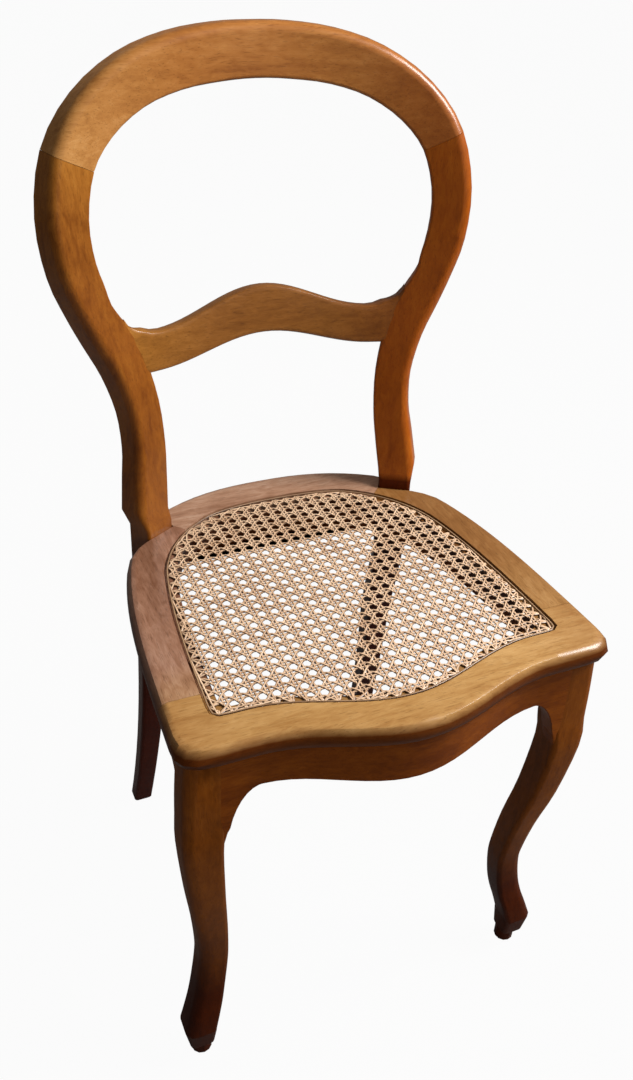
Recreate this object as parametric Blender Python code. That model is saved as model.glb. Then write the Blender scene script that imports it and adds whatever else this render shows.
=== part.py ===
"""A balloon-back side chair with a caned seat, in metres, +Z up, its front towards -Y.

The back is one hoop: two long rear legs rise past the seat, turned to face its middle, swell into the
sides of the balloon and meet the crest rail at two dowelled joints. A serpentine cross rail, scribed to
the legs, ties the hoop together. Four aprons are tenoned between the legs and carry a frame of four
moulded rails, rebated to hold the woven cane.
"""

import math

import bmesh
import bpy
import numpy as np
from mathutils import Matrix, Vector

# Overall sizes, the balloon's taken across the middle line of its hoop
SEAT_HEIGHT = 0.457
CREST_HEIGHT = 0.9008
SEAT_FRONT_WIDTH = 0.405
SEAT_REAR_WIDTH = 0.301
BALLOON_MIDDLE_WIDTH = 0.3738

# Gap left between pieces that touch
CLEARANCE = 0.0003
# How far a cutter runs past what it cuts, and how far a tenon is rooted in its own rail
OVERRUN = 0.002

# Seat plan, measured from the front corner of the frame to the front face of the rear legs
SEAT_SIDE_LENGTH = 0.3205
SEAT_FRONT_BULGE = 0.031
SEAT_FRONT_BULGE_HALF_WIDTH = 0.135
SEAT_REAR_BOW = 0.053
SEAT_STRAIGHT_TAPER_SHARE = 0.27
SEAT_CURVED_TAPER_POWER = 3.9
SEAT_REAR_BOW_POWER = 2.5
SEAT_CORNER_LENGTH = 0.024
SIDE_SHARE_LIMIT = 1.2
# How the side edges turn in beside the rear legs, over a share of the side's length
SEAT_END_TUCK = 0.0096
SEAT_END_TUCK_START_SHARE = 0.84
SEAT_END_TUCK_END_SHARE = 0.9184
SEAT_END_TUCK_POWER = 1.7

# Moulded seat frame
FRAME_THICKNESS = 0.023
FRAME_NOSE = 0.010
FRONT_BORDER = 0.0355
SIDE_BORDER = 0.0365
REAR_BORDER = 0.042
BORDER_FRONT_CORNER_LENGTH = 0.012
BORDER_REAR_CORNER_LENGTH = 0.058
REBATE_DEPTH = 0.0034
LEDGE_WIDTH = 0.012
FRAME_JOINT_FROM_FRONT = 0.066
FRAME_TENON_LENGTH = 0.013
FRAME_TENON_WIDTH = 0.014
FRAME_TENON_THICKNESS = 0.008
SPIGOT_DIAMETER = 0.016
SPIGOT_LENGTH = 0.011

# Aprons under the frame
APRON_INSET = 0.010
APRON_THICKNESS = 0.018
APRON_HEIGHT = 0.038
APRON_CENTRE_DROP = 0.0085
APRON_EDGE_ROUND = 0.0015
BRACKET_LENGTH = 0.030
BRACKET_HEIGHT = 0.069
SIDE_BRACKET_LENGTH = 0.026
SIDE_BRACKET_HEIGHT = 0.045
# The share of a bracket's curve that is kept, and the angle at which its steps start
BRACKET_SHARE = 0.94
BRACKET_START_ANGLE = 0.1
TENON_LENGTH = 0.010
TENON_THICKNESS = 0.009
TENON_HEIGHT = 0.013
# How far a tenon is rooted in its rail where it enters a turned leg
SLANTED_ROOT = 0.006

# Front legs: square in section, their faces following one S curve
POST_SIDE = 0.033
KNEE_SIDE = 0.0372
ANKLE_TUCK = 0.0112
ANKLE_SETBACK = 0.0250
POST_CORNER_ROUND = 0.010
LEG_EDGE_ROUND = 0.005
TOE_EDGE = 0.0015
PEG_DIAMETER = 0.021
PEG_HEIGHT = 0.020
PEG_EDGE = 0.0015
# Height, inward tuck, set-back, width and depth, as shares of the leg's height and the sizes above
FRONT_LEG_SHARES = (
    (1.0000, 0.000, 0.000, 0.887, 0.887),
    (0.9000, -0.134, 0.000, 0.968, 0.887),
    (0.8250, -0.188, 0.000, 1.000, 0.892),
    (0.7530, -0.330, -0.040, 0.949, 0.927),
    (0.5910, 0.134, 0.268, 0.871, 0.871),
    (0.4630, 0.696, 0.680, 0.806, 0.806),
    (0.3570, 1.000, 0.936, 0.761, 0.761),
    (0.3010, 0.964, 1.000, 0.755, 0.755),
    (0.2320, 0.643, 0.956, 0.769, 0.769),
    (0.1850, 0.268, 0.820, 0.790, 0.790),
    (0.1480, -0.170, 0.668, 0.812, 0.812),
    (0.1066, -0.640, 0.552, 0.839, 0.839),
)
SOLE_SHARES = (-0.500, 0.610, 0.667)
PEG_SHARES = (-0.366, 0.690)

# Rear legs: at the aprons and the seat they stand forward, turned to face the middle of the seat
REAR_LEG_WIDTH = 0.034
REAR_LEG_DEPTH = 0.028
REAR_LEG_TURN = 30.0
REAR_LEG_TURN_HEIGHT = 0.26
REAR_LEG_FRONT_Y = 0.006
REAR_LEG_FORWARD = 0.01375
REAR_LEG_OUTWARD = 0.0016
REAR_FOOT_SIDE = 0.022
REAR_FOOT_SPLAY = 0.016
REAR_LEG_TAPER_POWER = 1.75
REAR_LEG_SPLAY_POWER = 1.8
REAR_LEG_EDGE_ROUND = 0.004
FOOT_CHAMFER = 0.003

# Back: its middle surface leans back, straightens upwards and is wrapped by an arc seen from above
BACK_MIDDLE_SETBACK = 0.0148
BACK_LEAN = 0.20
BACK_STRAIGHTENING_RADIUS = 3.9
REAR_LEG_RAKE_RADIUS = 1.50
BACK_WRAP_RADIUS = 0.50
BACK_THICKNESS = 0.026
BACK_EDGE_ROUND = 0.003
BACK_OUTER_ROUND = 0.009
BACK_REAR_ROUND = 0.0015
HIP_BASE_HEIGHT = 0.008
HIP_HEIGHT = 0.020

# Middle line of the hoop from the hip to the crest, its width and thickness and how far it is turned
# to the middle: shares of half the middle width, of the middle height above the seat, and of the three
# sizes above and below
HOOP_WIDTH = 0.0473
HOOP_SHARES = (
    (0.740, 0.0505, 0.816, 1.06, 1.00),
    (0.723, 0.1289, 0.800, 1.00, 1.00),
    (0.710, 0.1999, 0.757, 0.98, 1.00),
    (0.722, 0.2923, 0.760, 0.98, 1.00),
    (0.777, 0.3887, 0.810, 1.00, 1.00),
    (0.858, 0.4698, 0.826, 1.00, 0.97),
    (0.922, 0.5347, 0.810, 1.02, 0.95),
    (0.983, 0.6119, 0.789, 1.04, 0.93),
    (1.000, 0.7154, 0.812, 1.04, 0.90),
    (0.943, 0.8220, 0.855, 1.00, 0.75),
    (0.808, 0.8990, 0.900, 0.93, 0.50),
    (0.614, 0.9545, 0.928, 0.88, 0.30),
    (0.397, 0.9845, 0.952, 0.84, 0.15),
    (0.179, 0.9970, 0.971, 0.81, 0.05),
    (0.000, 1.0000, 0.965, 0.81, 0.00),
)
CREST_JOINT_STATION = 9
DOWEL_DIAMETER = 0.008
DOWEL_LENGTH = 0.036
DOWEL_SPACING = 0.020

# Cross rail: arched in the middle, with a dip beside each rear leg
CROSS_RAIL_HEIGHT = 0.1525
CROSS_RAIL_END_WIDTH = 0.0372
CROSS_RAIL_MIDDLE_WIDTH = 0.0450
CROSS_RAIL_ARCH = 0.0190
CROSS_RAIL_ARCH_HALF_WIDTH = 0.110
CROSS_RAIL_END_RISE = 0.0055
CROSS_RAIL_END_RISE_LENGTH = 0.020
CROSS_RAIL_THICKNESS = 0.018
CROSS_RAIL_EDGE_ROUND = 0.0045
CROSS_TENON_HEIGHT = 0.016
CROSS_TENON_LENGTH = 0.014

# Cane: a net with every second hole of the woven pattern
CANE_THICKNESS = 0.0018
CANE_PITCH = 0.022
CANE_HOLE = 0.0135
CANE_HOLE_CORNER_SHARE = 0.29
CANE_MARGIN = 0.0035
BINDING_WIDTH = 0.0028
BINDING_THICKNESS = 0.0009

# The most of a side that the rounding at its two ends may take
ROUND_ROOM_SHARE = 0.98

# Points nearer than this are one point, and edges folded more than this angle are sharp
WELD_DISTANCE = 0.000001
SHARP_ANGLE = 35.0

# Points used for round shapes
NOSE_POINTS = 7
OUTER_ROUND_POINTS = 6
EDGE_ROUND_POINTS = 3
OUTLINE_POINTS = 60
DOWEL_SIDES = 16
STEPS_PER_SHARE = 3
BRACKET_STATIONS = 9
FRONT_APRON_STATIONS = 12
SIDE_APRON_STATIONS = 19
REAR_APRON_STATIONS = 23
REAR_LEG_STATIONS = 13
CORNER_STEPS = 8
CROSS_RAIL_STATIONS = 37
SETTLING_STEPS = 6
FRONT_STATIONS = 13
CORNER_STATIONS = 9
SIDE_STATIONS = 29
CORNER_STATIONS_ANGLE = 0.16

# Colours, roughness and metallic value of the finishes
HONEY_WOOD = ((0.42, 0.22, 0.09), 0.38, 0.0)
RED_BROWN_WOOD = ((0.20, 0.07, 0.025), 0.36, 0.0)
DOWEL_WOOD = ((0.62, 0.44, 0.26), 0.6, 0.0)
CANE = ((0.74, 0.56, 0.36), 0.5, 0.0)

# Places worked out from the sizes
FRAME_BOTTOM = SEAT_HEIGHT - FRAME_THICKNESS
APRON_TOP = FRAME_BOTTOM - CLEARANCE
APRON_BOTTOM = APRON_TOP - APRON_HEIGHT
FRONT_CORNER_Y = -SEAT_SIDE_LENGTH / 2
BACK_Y = SEAT_SIDE_LENGTH / 2
POST_X = SEAT_FRONT_WIDTH / 2 - APRON_INSET - POST_SIDE / 2
POST_Y = FRONT_CORNER_Y + APRON_INSET + POST_SIDE / 2
REAR_LEG_X = SEAT_REAR_WIDTH / 2 - REAR_LEG_WIDTH / 2
HIP_X = REAR_LEG_X + REAR_LEG_OUTWARD
HIP_Y = BACK_Y - REAR_LEG_FRONT_Y + REAR_LEG_DEPTH / 2 - REAR_LEG_FORWARD
SIDES = (("left", -1), ("right", 1))


def clear_scene():
    for obj in list(bpy.data.objects):
        bpy.data.objects.remove(obj, do_unlink=True)


def finish(name, values):
    """A material from a colour, a roughness and a metallic value."""
    colour, roughness, metallic = values
    material = bpy.data.materials.new(name)
    material.use_nodes = True
    shader = material.node_tree.nodes["Principled BSDF"]
    shader.inputs["Base Color"].default_value = (*colour, 1.0)
    shader.inputs["Roughness"].default_value = roughness
    shader.inputs["Metallic"].default_value = metallic
    return material


def add_object(name, bm, values, smooth=True):
    """The mesh as a scene object with its own finish, its flat faces kept flat."""
    bmesh.ops.remove_doubles(bm, verts=bm.verts, dist=WELD_DISTANCE)
    bmesh.ops.recalc_face_normals(bm, faces=bm.faces)
    mesh = bpy.data.meshes.new(name)
    bm.to_mesh(mesh)
    bm.free()
    if smooth:
        mesh.shade_smooth()
        mesh.set_sharp_from_angle(angle=math.radians(SHARP_ANGLE))
    mesh.materials.append(finish(name, values))
    obj = bpy.data.objects.new(name, mesh)
    bpy.context.scene.collection.objects.link(obj)
    return obj


def add_cutter(name, bm):
    obj = add_object(name, bm, DOWEL_WOOD, smooth=False)
    obj.hide_render = True
    obj.display_type = "WIRE"
    return obj


def boolean(obj, other, operation):
    modifier = obj.modifiers.new(f"{operation.lower()} {other.name}", "BOOLEAN")
    modifier.object = other
    modifier.operation = operation
    modifier.solver = "EXACT"


def loft(rings, closed=False):
    """A skin through rings of equally many points, with flat ends unless the rings form a loop."""
    bm = bmesh.new()
    loops = [[bm.verts.new(point) for point in ring] for ring in rings]
    count = len(loops[0])
    pairs = list(zip(loops, loops[1:]))
    if closed:
        pairs.append((loops[-1], loops[0]))
    for low, high in pairs:
        for i in range(count):
            j = (i + 1) % count
            bm.faces.new((low[i], low[j], high[j], high[i]))
    if not closed:
        bm.faces.new(loops[0])
        bm.faces.new(loops[-1])
    return bm


def block(low, high):
    """An upright box between two opposite corners."""
    bm = bmesh.new()
    bmesh.ops.create_cube(bm, size=1.0)
    size = [b - a for a, b in zip(low, high)]
    middle = [(a + b) / 2 for a, b in zip(low, high)]
    bmesh.ops.scale(bm, vec=size, verts=bm.verts)
    bmesh.ops.translate(bm, vec=middle, verts=bm.verts)
    return bm


def rod(start, end, diameter):
    """A round rod between two points."""
    start, end = Vector(start), Vector(end)
    axis = end - start
    turn = axis.to_track_quat("Z", "Y").to_matrix().to_4x4()
    bm = bmesh.new()
    bmesh.ops.create_cone(
        bm,
        cap_ends=True,
        segments=DOWEL_SIDES,
        radius1=diameter / 2,
        radius2=diameter / 2,
        depth=axis.length,
        matrix=Matrix.Translation((start + end) / 2) @ turn,
    )
    return bm


def catmull(points, steps):
    """Points along the smooth curve through the given ones, with equally many steps in each span."""
    points = [np.array(point, float) for point in points]
    ends = [2 * points[0] - points[1], *points, 2 * points[-1] - points[-2]]
    curve = []
    for a, b, c, d in zip(ends, ends[1:], ends[2:], ends[3:]):
        for step in range(steps):
            t = step / steps
            curve.append(
                b + (c - a) * t / 2
                + (2 * a - 5 * b + 4 * c - d) * t**2 / 2
                + (3 * b - a - 3 * c + d) * t**3 / 2
            )
    curve.append(points[-1])
    return curve


def ease(value, start, end):
    """0 before start, 1 after end, and a smooth step between them."""
    t = min(max((value - start) / (end - start), 0.0), 1.0)
    return t * t * (3 - 2 * t)


def hump(x, half_width):
    """1 at the middle, easing to 0 at the half width and beyond."""
    return (1 + math.cos(math.pi * min(abs(x) / half_width, 1.0))) / 2


def rounded_section(low, high, radii, points):
    """A rectangle in the plane with its four corners rounded, from the low corner on.

    The corners come in the order low-low, high-low, high-high and low-high.
    """
    (u0, v0), (u1, v1) = low, high
    corners = ((u0, v0), (u1, v0), (u1, v1), (u0, v1))
    room = min(u1 - u0, v1 - v0)
    section = []
    for i, ((u, v), radius, count) in enumerate(zip(corners, radii, points)):
        beside = max(radii[i - 1], radii[(i + 1) % 4])
        radius *= min(1.0, ROUND_ROOM_SHARE * room / (radius + beside))
        centre_u = u + radius if u == u0 else u - radius
        centre_v = v + radius if v == v0 else v - radius
        for k in range(count):
            angle = math.pi * (1 + i / 2 + k / (count - 1) / 2)
            section.append((centre_u + radius * math.cos(angle), centre_v + radius * math.sin(angle)))
    return section


def back_middle(x, z):
    """How far back the middle surface of the chair's back lies."""
    rise = z - SEAT_HEIGHT
    lean = BACK_LEAN * rise - rise**2 / (2 * BACK_STRAIGHTENING_RADIUS)
    return BACK_Y + BACK_MIDDLE_SETBACK + lean - x**2 / (2 * BACK_WRAP_RADIUS)


def back_point(x, z, depth, middle_x):
    """The point at a depth behind the back's middle surface, square to its rake.

    The wrap of the surface is taken at the place across that is given last.
    """
    slope = BACK_LEAN - (z - SEAT_HEIGHT) / BACK_STRAIGHTENING_RADIUS
    level = depth / math.hypot(1.0, slope)
    return x, back_middle(middle_x, z) + level, z - slope * level


# Seat plan


def side_x(y, inset=0.0, tuck=SEAT_END_TUCK):
    """Half the seat's width at a place along its side, tucked in beside the rear leg."""
    share = min(max((y - FRONT_CORNER_Y) / SEAT_SIDE_LENGTH, 0.0), SIDE_SHARE_LIMIT)
    straight = SEAT_STRAIGHT_TAPER_SHARE
    taper = straight * share + (1 - straight) * share**SEAT_CURVED_TAPER_POWER
    along = (share - SEAT_END_TUCK_START_SHARE) / (SEAT_END_TUCK_END_SHARE - SEAT_END_TUCK_START_SHARE)
    inset += tuck * min(max(along, 0.0), 1.0) ** SEAT_END_TUCK_POWER
    return SEAT_FRONT_WIDTH / 2 - (SEAT_FRONT_WIDTH - SEAT_REAR_WIDTH) / 2 * taper - inset


def front_y(x, inset=0.0):
    """The serpentine front edge."""
    return FRONT_CORNER_Y - SEAT_FRONT_BULGE * hump(x, SEAT_FRONT_BULGE_HALF_WIDTH) + inset


def rear_y(x, inset=0.0):
    """The bowed rear edge."""
    share = (abs(x) / (SEAT_REAR_WIDTH / 2)) ** SEAT_REAR_BOW_POWER
    return BACK_Y + SEAT_REAR_BOW * (1 - share) - inset


def blend_corner(before, after, length):
    """Joins two runs of points with a soft corner that starts this far from where they meet."""
    corner = (before[-1] + after[0]) / 2
    before = [p for p in before if np.linalg.norm(p - corner) > length]
    after = [p for p in after if np.linalg.norm(p - corner) > length]
    start, end = before[-1], after[0]
    arc = []
    for step in range(1, CORNER_STEPS):
        t = step / CORNER_STEPS
        arc.append(start * (1 - t) ** 2 + corner * 2 * t * (1 - t) + end * t**2)
    return before + arc + after


def half_outline(front, side, rear, front_corner, rear_corner, tuck=0.0):
    """The right half of the seat's outline, from the front centre to the rear centre, inset by edge."""
    wide = side_x(FRONT_CORNER_Y, side)
    front_run = [np.array((x, front_y(x, front))) for x in np.linspace(0, wide, OUTLINE_POINTS)]
    ys = np.linspace(front_run[-1][1], rear_y(0, rear), 2 * OUTLINE_POINTS)
    side_run = [np.array((side_x(y, side, tuck), y)) for y in ys]
    side_run = [p for p in side_run if p[1] <= rear_y(p[0], rear)]
    reach = side_run[-1][0]
    rear_run = [np.array((x, rear_y(x, rear))) for x in np.linspace(reach, 0, OUTLINE_POINTS)]
    outline = blend_corner(front_run, side_run, front_corner)
    return blend_corner(outline, rear_run, rear_corner)


def outline_reach(outline, angles):
    """How far the outline lies from the middle of the seat, at each angle about that point."""
    points = np.array(outline)
    around = np.unwrap(np.arctan2(points[:, 1], points[:, 0]))
    reach = np.hypot(points[:, 0], points[:, 1])
    return np.interp(angles, around, reach)


def seat_angles():
    """Angles of the seat's stations, closer together at the front corners."""
    corner = math.atan2(FRONT_CORNER_Y, SEAT_FRONT_WIDTH / 2)
    right = math.pi / 2
    turn = CORNER_STATIONS_ANGLE
    front = np.linspace(-right, corner - turn, FRONT_STATIONS)[:-1]
    around = np.linspace(corner - turn, corner + turn, CORNER_STATIONS)[:-1]
    side = np.linspace(corner + turn, right, SIDE_STATIONS)
    return np.concatenate([front, around, side])


def outline_points(outline, z):
    """The closed outline at a height, read at the seat's stations from the front centre round."""
    angles = seat_angles()
    reach = outline_reach(outline, angles)
    right = [(r * math.cos(a), r * math.sin(a), z) for a, r in zip(angles, reach)]
    left = [(-x, y, z) for x, y, z in reversed(right[1:-1])]
    return right + left


def frame_outline(inset):
    """The frame's outer outline, moved inwards."""
    corner = SEAT_CORNER_LENGTH
    return half_outline(inset, inset, inset, corner, corner / 3, SEAT_END_TUCK)


def border_outline(inset):
    """The outline of the rebate that holds the cane, moved inwards."""
    return half_outline(
        FRONT_BORDER + inset,
        SIDE_BORDER + inset,
        REAR_BORDER + inset,
        BORDER_FRONT_CORNER_LENGTH,
        BORDER_REAR_CORNER_LENGTH,
    )


def frame_section_loops():
    """The moulded frame as closed loops: the round nose, the flat top, the rebate and its ledge."""
    middle = SEAT_HEIGHT - FRAME_THICKNESS / 2
    loops = []
    for k in range(NOSE_POINTS):
        angle = math.pi * (k / (NOSE_POINTS - 1) - 0.5)
        inset = FRAME_NOSE * (1 - math.cos(angle))
        height = middle + FRAME_THICKNESS / 2 * math.sin(angle)
        loops.append(outline_points(frame_outline(inset), height))
    ledge_top = SEAT_HEIGHT - REBATE_DEPTH
    loops.append(outline_points(border_outline(0.0), SEAT_HEIGHT))
    loops.append(outline_points(border_outline(0.0), ledge_top))
    loops.append(outline_points(border_outline(LEDGE_WIDTH), ledge_top))
    loops.append(outline_points(border_outline(LEDGE_WIDTH), FRAME_BOTTOM))
    return loops


def cut_away(bm, point, normal):
    """Removes what lies on the side of a plane that the normal points to, and closes the cut."""
    geom = bm.verts[:] + bm.edges[:] + bm.faces[:]
    cut = bmesh.ops.bisect_plane(bm, geom=geom, plane_co=point, plane_no=normal, clear_outer=True)
    edges = [item for item in cut["geom_cut"] if isinstance(item, bmesh.types.BMEdge)]
    bmesh.ops.edgenet_fill(bm, edges=edges)


def hip_corner(side, across, back):
    """A place in plan from the middle of a rear leg's turned section, in shares of half its sides."""
    turn = math.radians(REAR_LEG_TURN)
    u, v = across * REAR_LEG_WIDTH / 2, back * REAR_LEG_DEPTH / 2
    x = HIP_X + u * math.cos(turn) + v * math.sin(turn)
    return side * x, HIP_Y + v * math.cos(turn) - u * math.sin(turn)


def rear_leg_room(side):
    """The room behind a rear leg's front and outside its inner face, from the aprons to the seat."""
    low = (-REAR_LEG_WIDTH / 2 - CLEARANCE, -REAR_LEG_DEPTH / 2 - CLEARANCE, APRON_BOTTOM - APRON_HEIGHT)
    high = (2 * REAR_LEG_WIDTH, 2 * REAR_LEG_DEPTH, SEAT_HEIGHT + OVERRUN)
    bm = block(low, high)
    turn = Matrix.Rotation(-math.radians(REAR_LEG_TURN), 4, "Z")
    bmesh.ops.transform(bm, matrix=Matrix.Translation((HIP_X, HIP_Y, 0)) @ turn, verts=bm.verts)
    if side < 0:
        bmesh.ops.scale(bm, vec=(-1, 1, 1), verts=bm.verts)
    return bm


def mitre_point(side):
    """Where the side rail and the rear rail of the frame meet a rear leg's inner front corner."""
    return Vector((*hip_corner(side, -1, -1), SEAT_HEIGHT))


def mitre_normal(side):
    return Vector((side, -1.0, 0.0)).normalized()


def frame_joint_y():
    return FRONT_CORNER_Y + FRAME_JOINT_FROM_FRONT


def front_tenon(side, grown):
    """The tongue on a side rail that enters the front rail, or with growth its socket."""
    y = frame_joint_y()
    ledge = side_x(y, SIDE_BORDER + LEDGE_WIDTH)
    x = side * (ledge + side_x(y)) / 2
    z = FRAME_BOTTOM + FRAME_THICKNESS / 2
    half_width, half_height = FRAME_TENON_WIDTH / 2 + grown, FRAME_TENON_THICKNESS / 2 + grown
    low = (x - half_width, y - FRAME_TENON_LENGTH - grown, z - half_height)
    return block(low, (x + half_width, y + OVERRUN, z + half_height))


def mitre_tenon(side, grown):
    """The tongue on a side rail that enters the rear rail across the mitre, or its socket."""
    bm = block(
        (-FRAME_TENON_WIDTH / 2 - grown, -OVERRUN, -FRAME_TENON_THICKNESS / 2 - grown),
        (FRAME_TENON_WIDTH / 2 + grown, FRAME_TENON_LENGTH + grown, FRAME_TENON_THICKNESS / 2 + grown),
    )
    along = Vector((-side, -1.0, 0.0)).normalized()
    middle = mitre_point(side) + along * REAR_BORDER / 2
    middle.z = FRAME_BOTTOM + FRAME_THICKNESS / 2
    turn = Matrix.Rotation(side * math.radians(45), 4, "Z")
    bmesh.ops.transform(bm, matrix=Matrix.Translation(middle) @ turn, verts=bm.verts)
    return bm


def spigot(side, grown):
    """The round pin on top of a front leg that locates the frame, or its socket."""
    x, y = side * POST_X, POST_Y
    start = (x, y, APRON_TOP - OVERRUN)
    return rod(start, (x, y, FRAME_BOTTOM + SPIGOT_LENGTH + grown), SPIGOT_DIAMETER + 2 * grown)


def build_frame():
    """The four rails of the moulded frame, cut from one ring."""
    half = CLEARANCE / 2
    joint = frame_joint_y()

    bm = loft(frame_section_loops(), closed=True)
    cut_away(bm, (0, joint - half, 0), (0, 1, 0))
    front = add_object("seat_frame_front", bm, HONEY_WOOD)

    bm = loft(frame_section_loops(), closed=True)
    for _, side in SIDES:
        normal = mitre_normal(side)
        cut_away(bm, mitre_point(side) - normal * half, normal)
    rear = add_object("seat_frame_rear", bm, HONEY_WOOD)

    for name, side in SIDES:
        bm = loft(frame_section_loops(), closed=True)
        cut_away(bm, (0, 0, 0), (-side, 0, 0))
        cut_away(bm, (0, joint + half, 0), (0, -1, 0))
        normal = mitre_normal(side)
        cut_away(bm, mitre_point(side) + normal * half, -normal)
        rail = add_object(f"seat_frame_{name}", bm, HONEY_WOOD)
        boolean(rail, add_cutter(f"leg_notch_{name}", rear_leg_room(side)), "DIFFERENCE")
        boolean(rear, add_cutter(f"rear_notch_{name}", rear_leg_room(side)), "DIFFERENCE")
        boolean(rail, add_cutter(f"front_tongue_{name}", front_tenon(side, 0)), "UNION")
        boolean(rail, add_cutter(f"mitre_tongue_{name}", mitre_tenon(side, 0)), "UNION")
        boolean(front, add_cutter(f"front_socket_{name}", front_tenon(side, CLEARANCE)), "DIFFERENCE")
        boolean(rear, add_cutter(f"mitre_socket_{name}", mitre_tenon(side, CLEARANCE)), "DIFFERENCE")
        boolean(front, add_cutter(f"spigot_socket_{name}", spigot(side, CLEARANCE)), "DIFFERENCE")


# Aprons


def apron_ring(outer, inner, low):
    """One section of an apron between two plan points, its lower outer edge eased."""
    (x0, y0), (x1, y1) = outer, inner
    reach = math.hypot(x1 - x0, y1 - y0)
    step_x, step_y = (x1 - x0) * APRON_EDGE_ROUND / reach, (y1 - y0) * APRON_EDGE_ROUND / reach
    return [
        (x0, y0, APRON_TOP),
        (x0, y0, low + APRON_EDGE_ROUND),
        (x0 + step_x, y0 + step_y, low),
        (x1 - step_x, y1 - step_y, low),
        (x1, y1, low + APRON_EDGE_ROUND),
        (x1, y1, APRON_TOP),
    ]


def bracket_drop(distance, length, height):
    """How far an apron's lower edge drops, at a distance from the leg, to sweep into it."""
    share = min(max(1 - distance / length, 0.0), BRACKET_SHARE)
    return height * (1 - math.sqrt(1 - share**2))


def front_apron_low(x):
    end = POST_X - POST_SIDE / 2
    centre = APRON_CENTRE_DROP * hump(x, SEAT_FRONT_BULGE_HALF_WIDTH)
    return APRON_BOTTOM - centre - bracket_drop(end - abs(x), BRACKET_LENGTH, BRACKET_HEIGHT)


def tenon_band(upper):
    """Lowest and highest point of a tenon: front and rear aprons enter a leg above the side ones."""
    low = APRON_BOTTOM + (APRON_HEIGHT - 2 * TENON_HEIGHT) / 3
    if upper:
        low = APRON_TOP - (APRON_HEIGHT - 2 * TENON_HEIGHT) / 3 - TENON_HEIGHT
    return low, low + TENON_HEIGHT


def apron_tenon(end, direction, upper, grown, root=OVERRUN):
    """A tenon from the middle of an apron's end into a leg, or its mortise. The direction is x or y."""
    low, high = tenon_band(upper)
    half = TENON_THICKNESS / 2 + grown
    if direction[0]:
        xs = sorted((end[0] - direction[0] * root, end[0] + direction[0] * (TENON_LENGTH + grown)))
        return block((xs[0], end[1] - half, low - grown), (xs[1], end[1] + half, high + grown))
    ys = sorted((end[1] - direction[1] * root, end[1] + direction[1] * (TENON_LENGTH + grown)))
    return block((end[0] - half, ys[0], low - grown), (end[0] + half, ys[1], high + grown))


def front_apron_end(side):
    x = side * (POST_X - POST_SIDE / 2)
    return x, front_y(x, APRON_INSET) + APRON_THICKNESS / 2


def rear_apron_end(side):
    """Where the middle of the rear apron meets a rear leg's inner face."""
    x, y = hip_corner(1, -1, 0)
    slope = math.tan(math.radians(REAR_LEG_TURN))
    for _ in range(SETTLING_STEPS):
        new_y = rear_y(x, APRON_INSET) - APRON_THICKNESS / 2
        x, y = x + (new_y - y) * slope, new_y
    return side * x, y


def side_apron_end(side, front):
    """Where the middle of a side apron meets a front leg, or a rear leg's front face."""
    if front:
        y = POST_Y + POST_SIDE / 2
        return side * (side_x(y, APRON_INSET) - APRON_THICKNESS / 2), y
    x, y = hip_corner(1, 0, -1)
    slope = math.tan(math.radians(REAR_LEG_TURN))
    for _ in range(SETTLING_STEPS):
        new_x = side_x(y, APRON_INSET) - APRON_THICKNESS / 2
        x, y = new_x, y - (new_x - x) * slope
    return side * x, y


def build_front_apron():
    end = POST_X - POST_SIDE / 2 - CLEARANCE
    straight = end - BRACKET_LENGTH
    angles = np.linspace(BRACKET_START_ANGLE, math.pi / 2, BRACKET_STATIONS)
    turn = [end - BRACKET_LENGTH * (1 - math.sin(angle)) for angle in angles]
    half = list(np.linspace(0, straight, FRONT_APRON_STATIONS)) + turn
    stations = [-x for x in reversed(half[1:])] + half
    rings = []
    for x in stations:
        y = front_y(x, APRON_INSET)
        rings.append(apron_ring((x, y), (x, y + APRON_THICKNESS), front_apron_low(x)))
    apron = add_object("front_apron", loft(rings), RED_BROWN_WOOD)
    for name, side in SIDES:
        tenon = apron_tenon(front_apron_end(side), (side, 0), True, 0)
        boolean(apron, add_cutter(f"front_apron_tenon_{name}", tenon), "UNION")


def build_rear_apron():
    end = HIP_X
    rings = []
    for x in np.linspace(-end, end, REAR_APRON_STATIONS):
        y = rear_y(x, APRON_INSET)
        rings.append(apron_ring((x, y), (x, y - APRON_THICKNESS), APRON_BOTTOM))
    apron = add_object("rear_apron", loft(rings), RED_BROWN_WOOD)
    for name, side in SIDES:
        boolean(apron, add_cutter(f"rear_apron_room_{name}", rear_leg_room(side)), "DIFFERENCE")
        tenon = apron_tenon(rear_apron_end(side), (side, 0), True, 0, SLANTED_ROOT)
        boolean(apron, add_cutter(f"rear_apron_tenon_{name}", tenon), "UNION")


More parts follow.
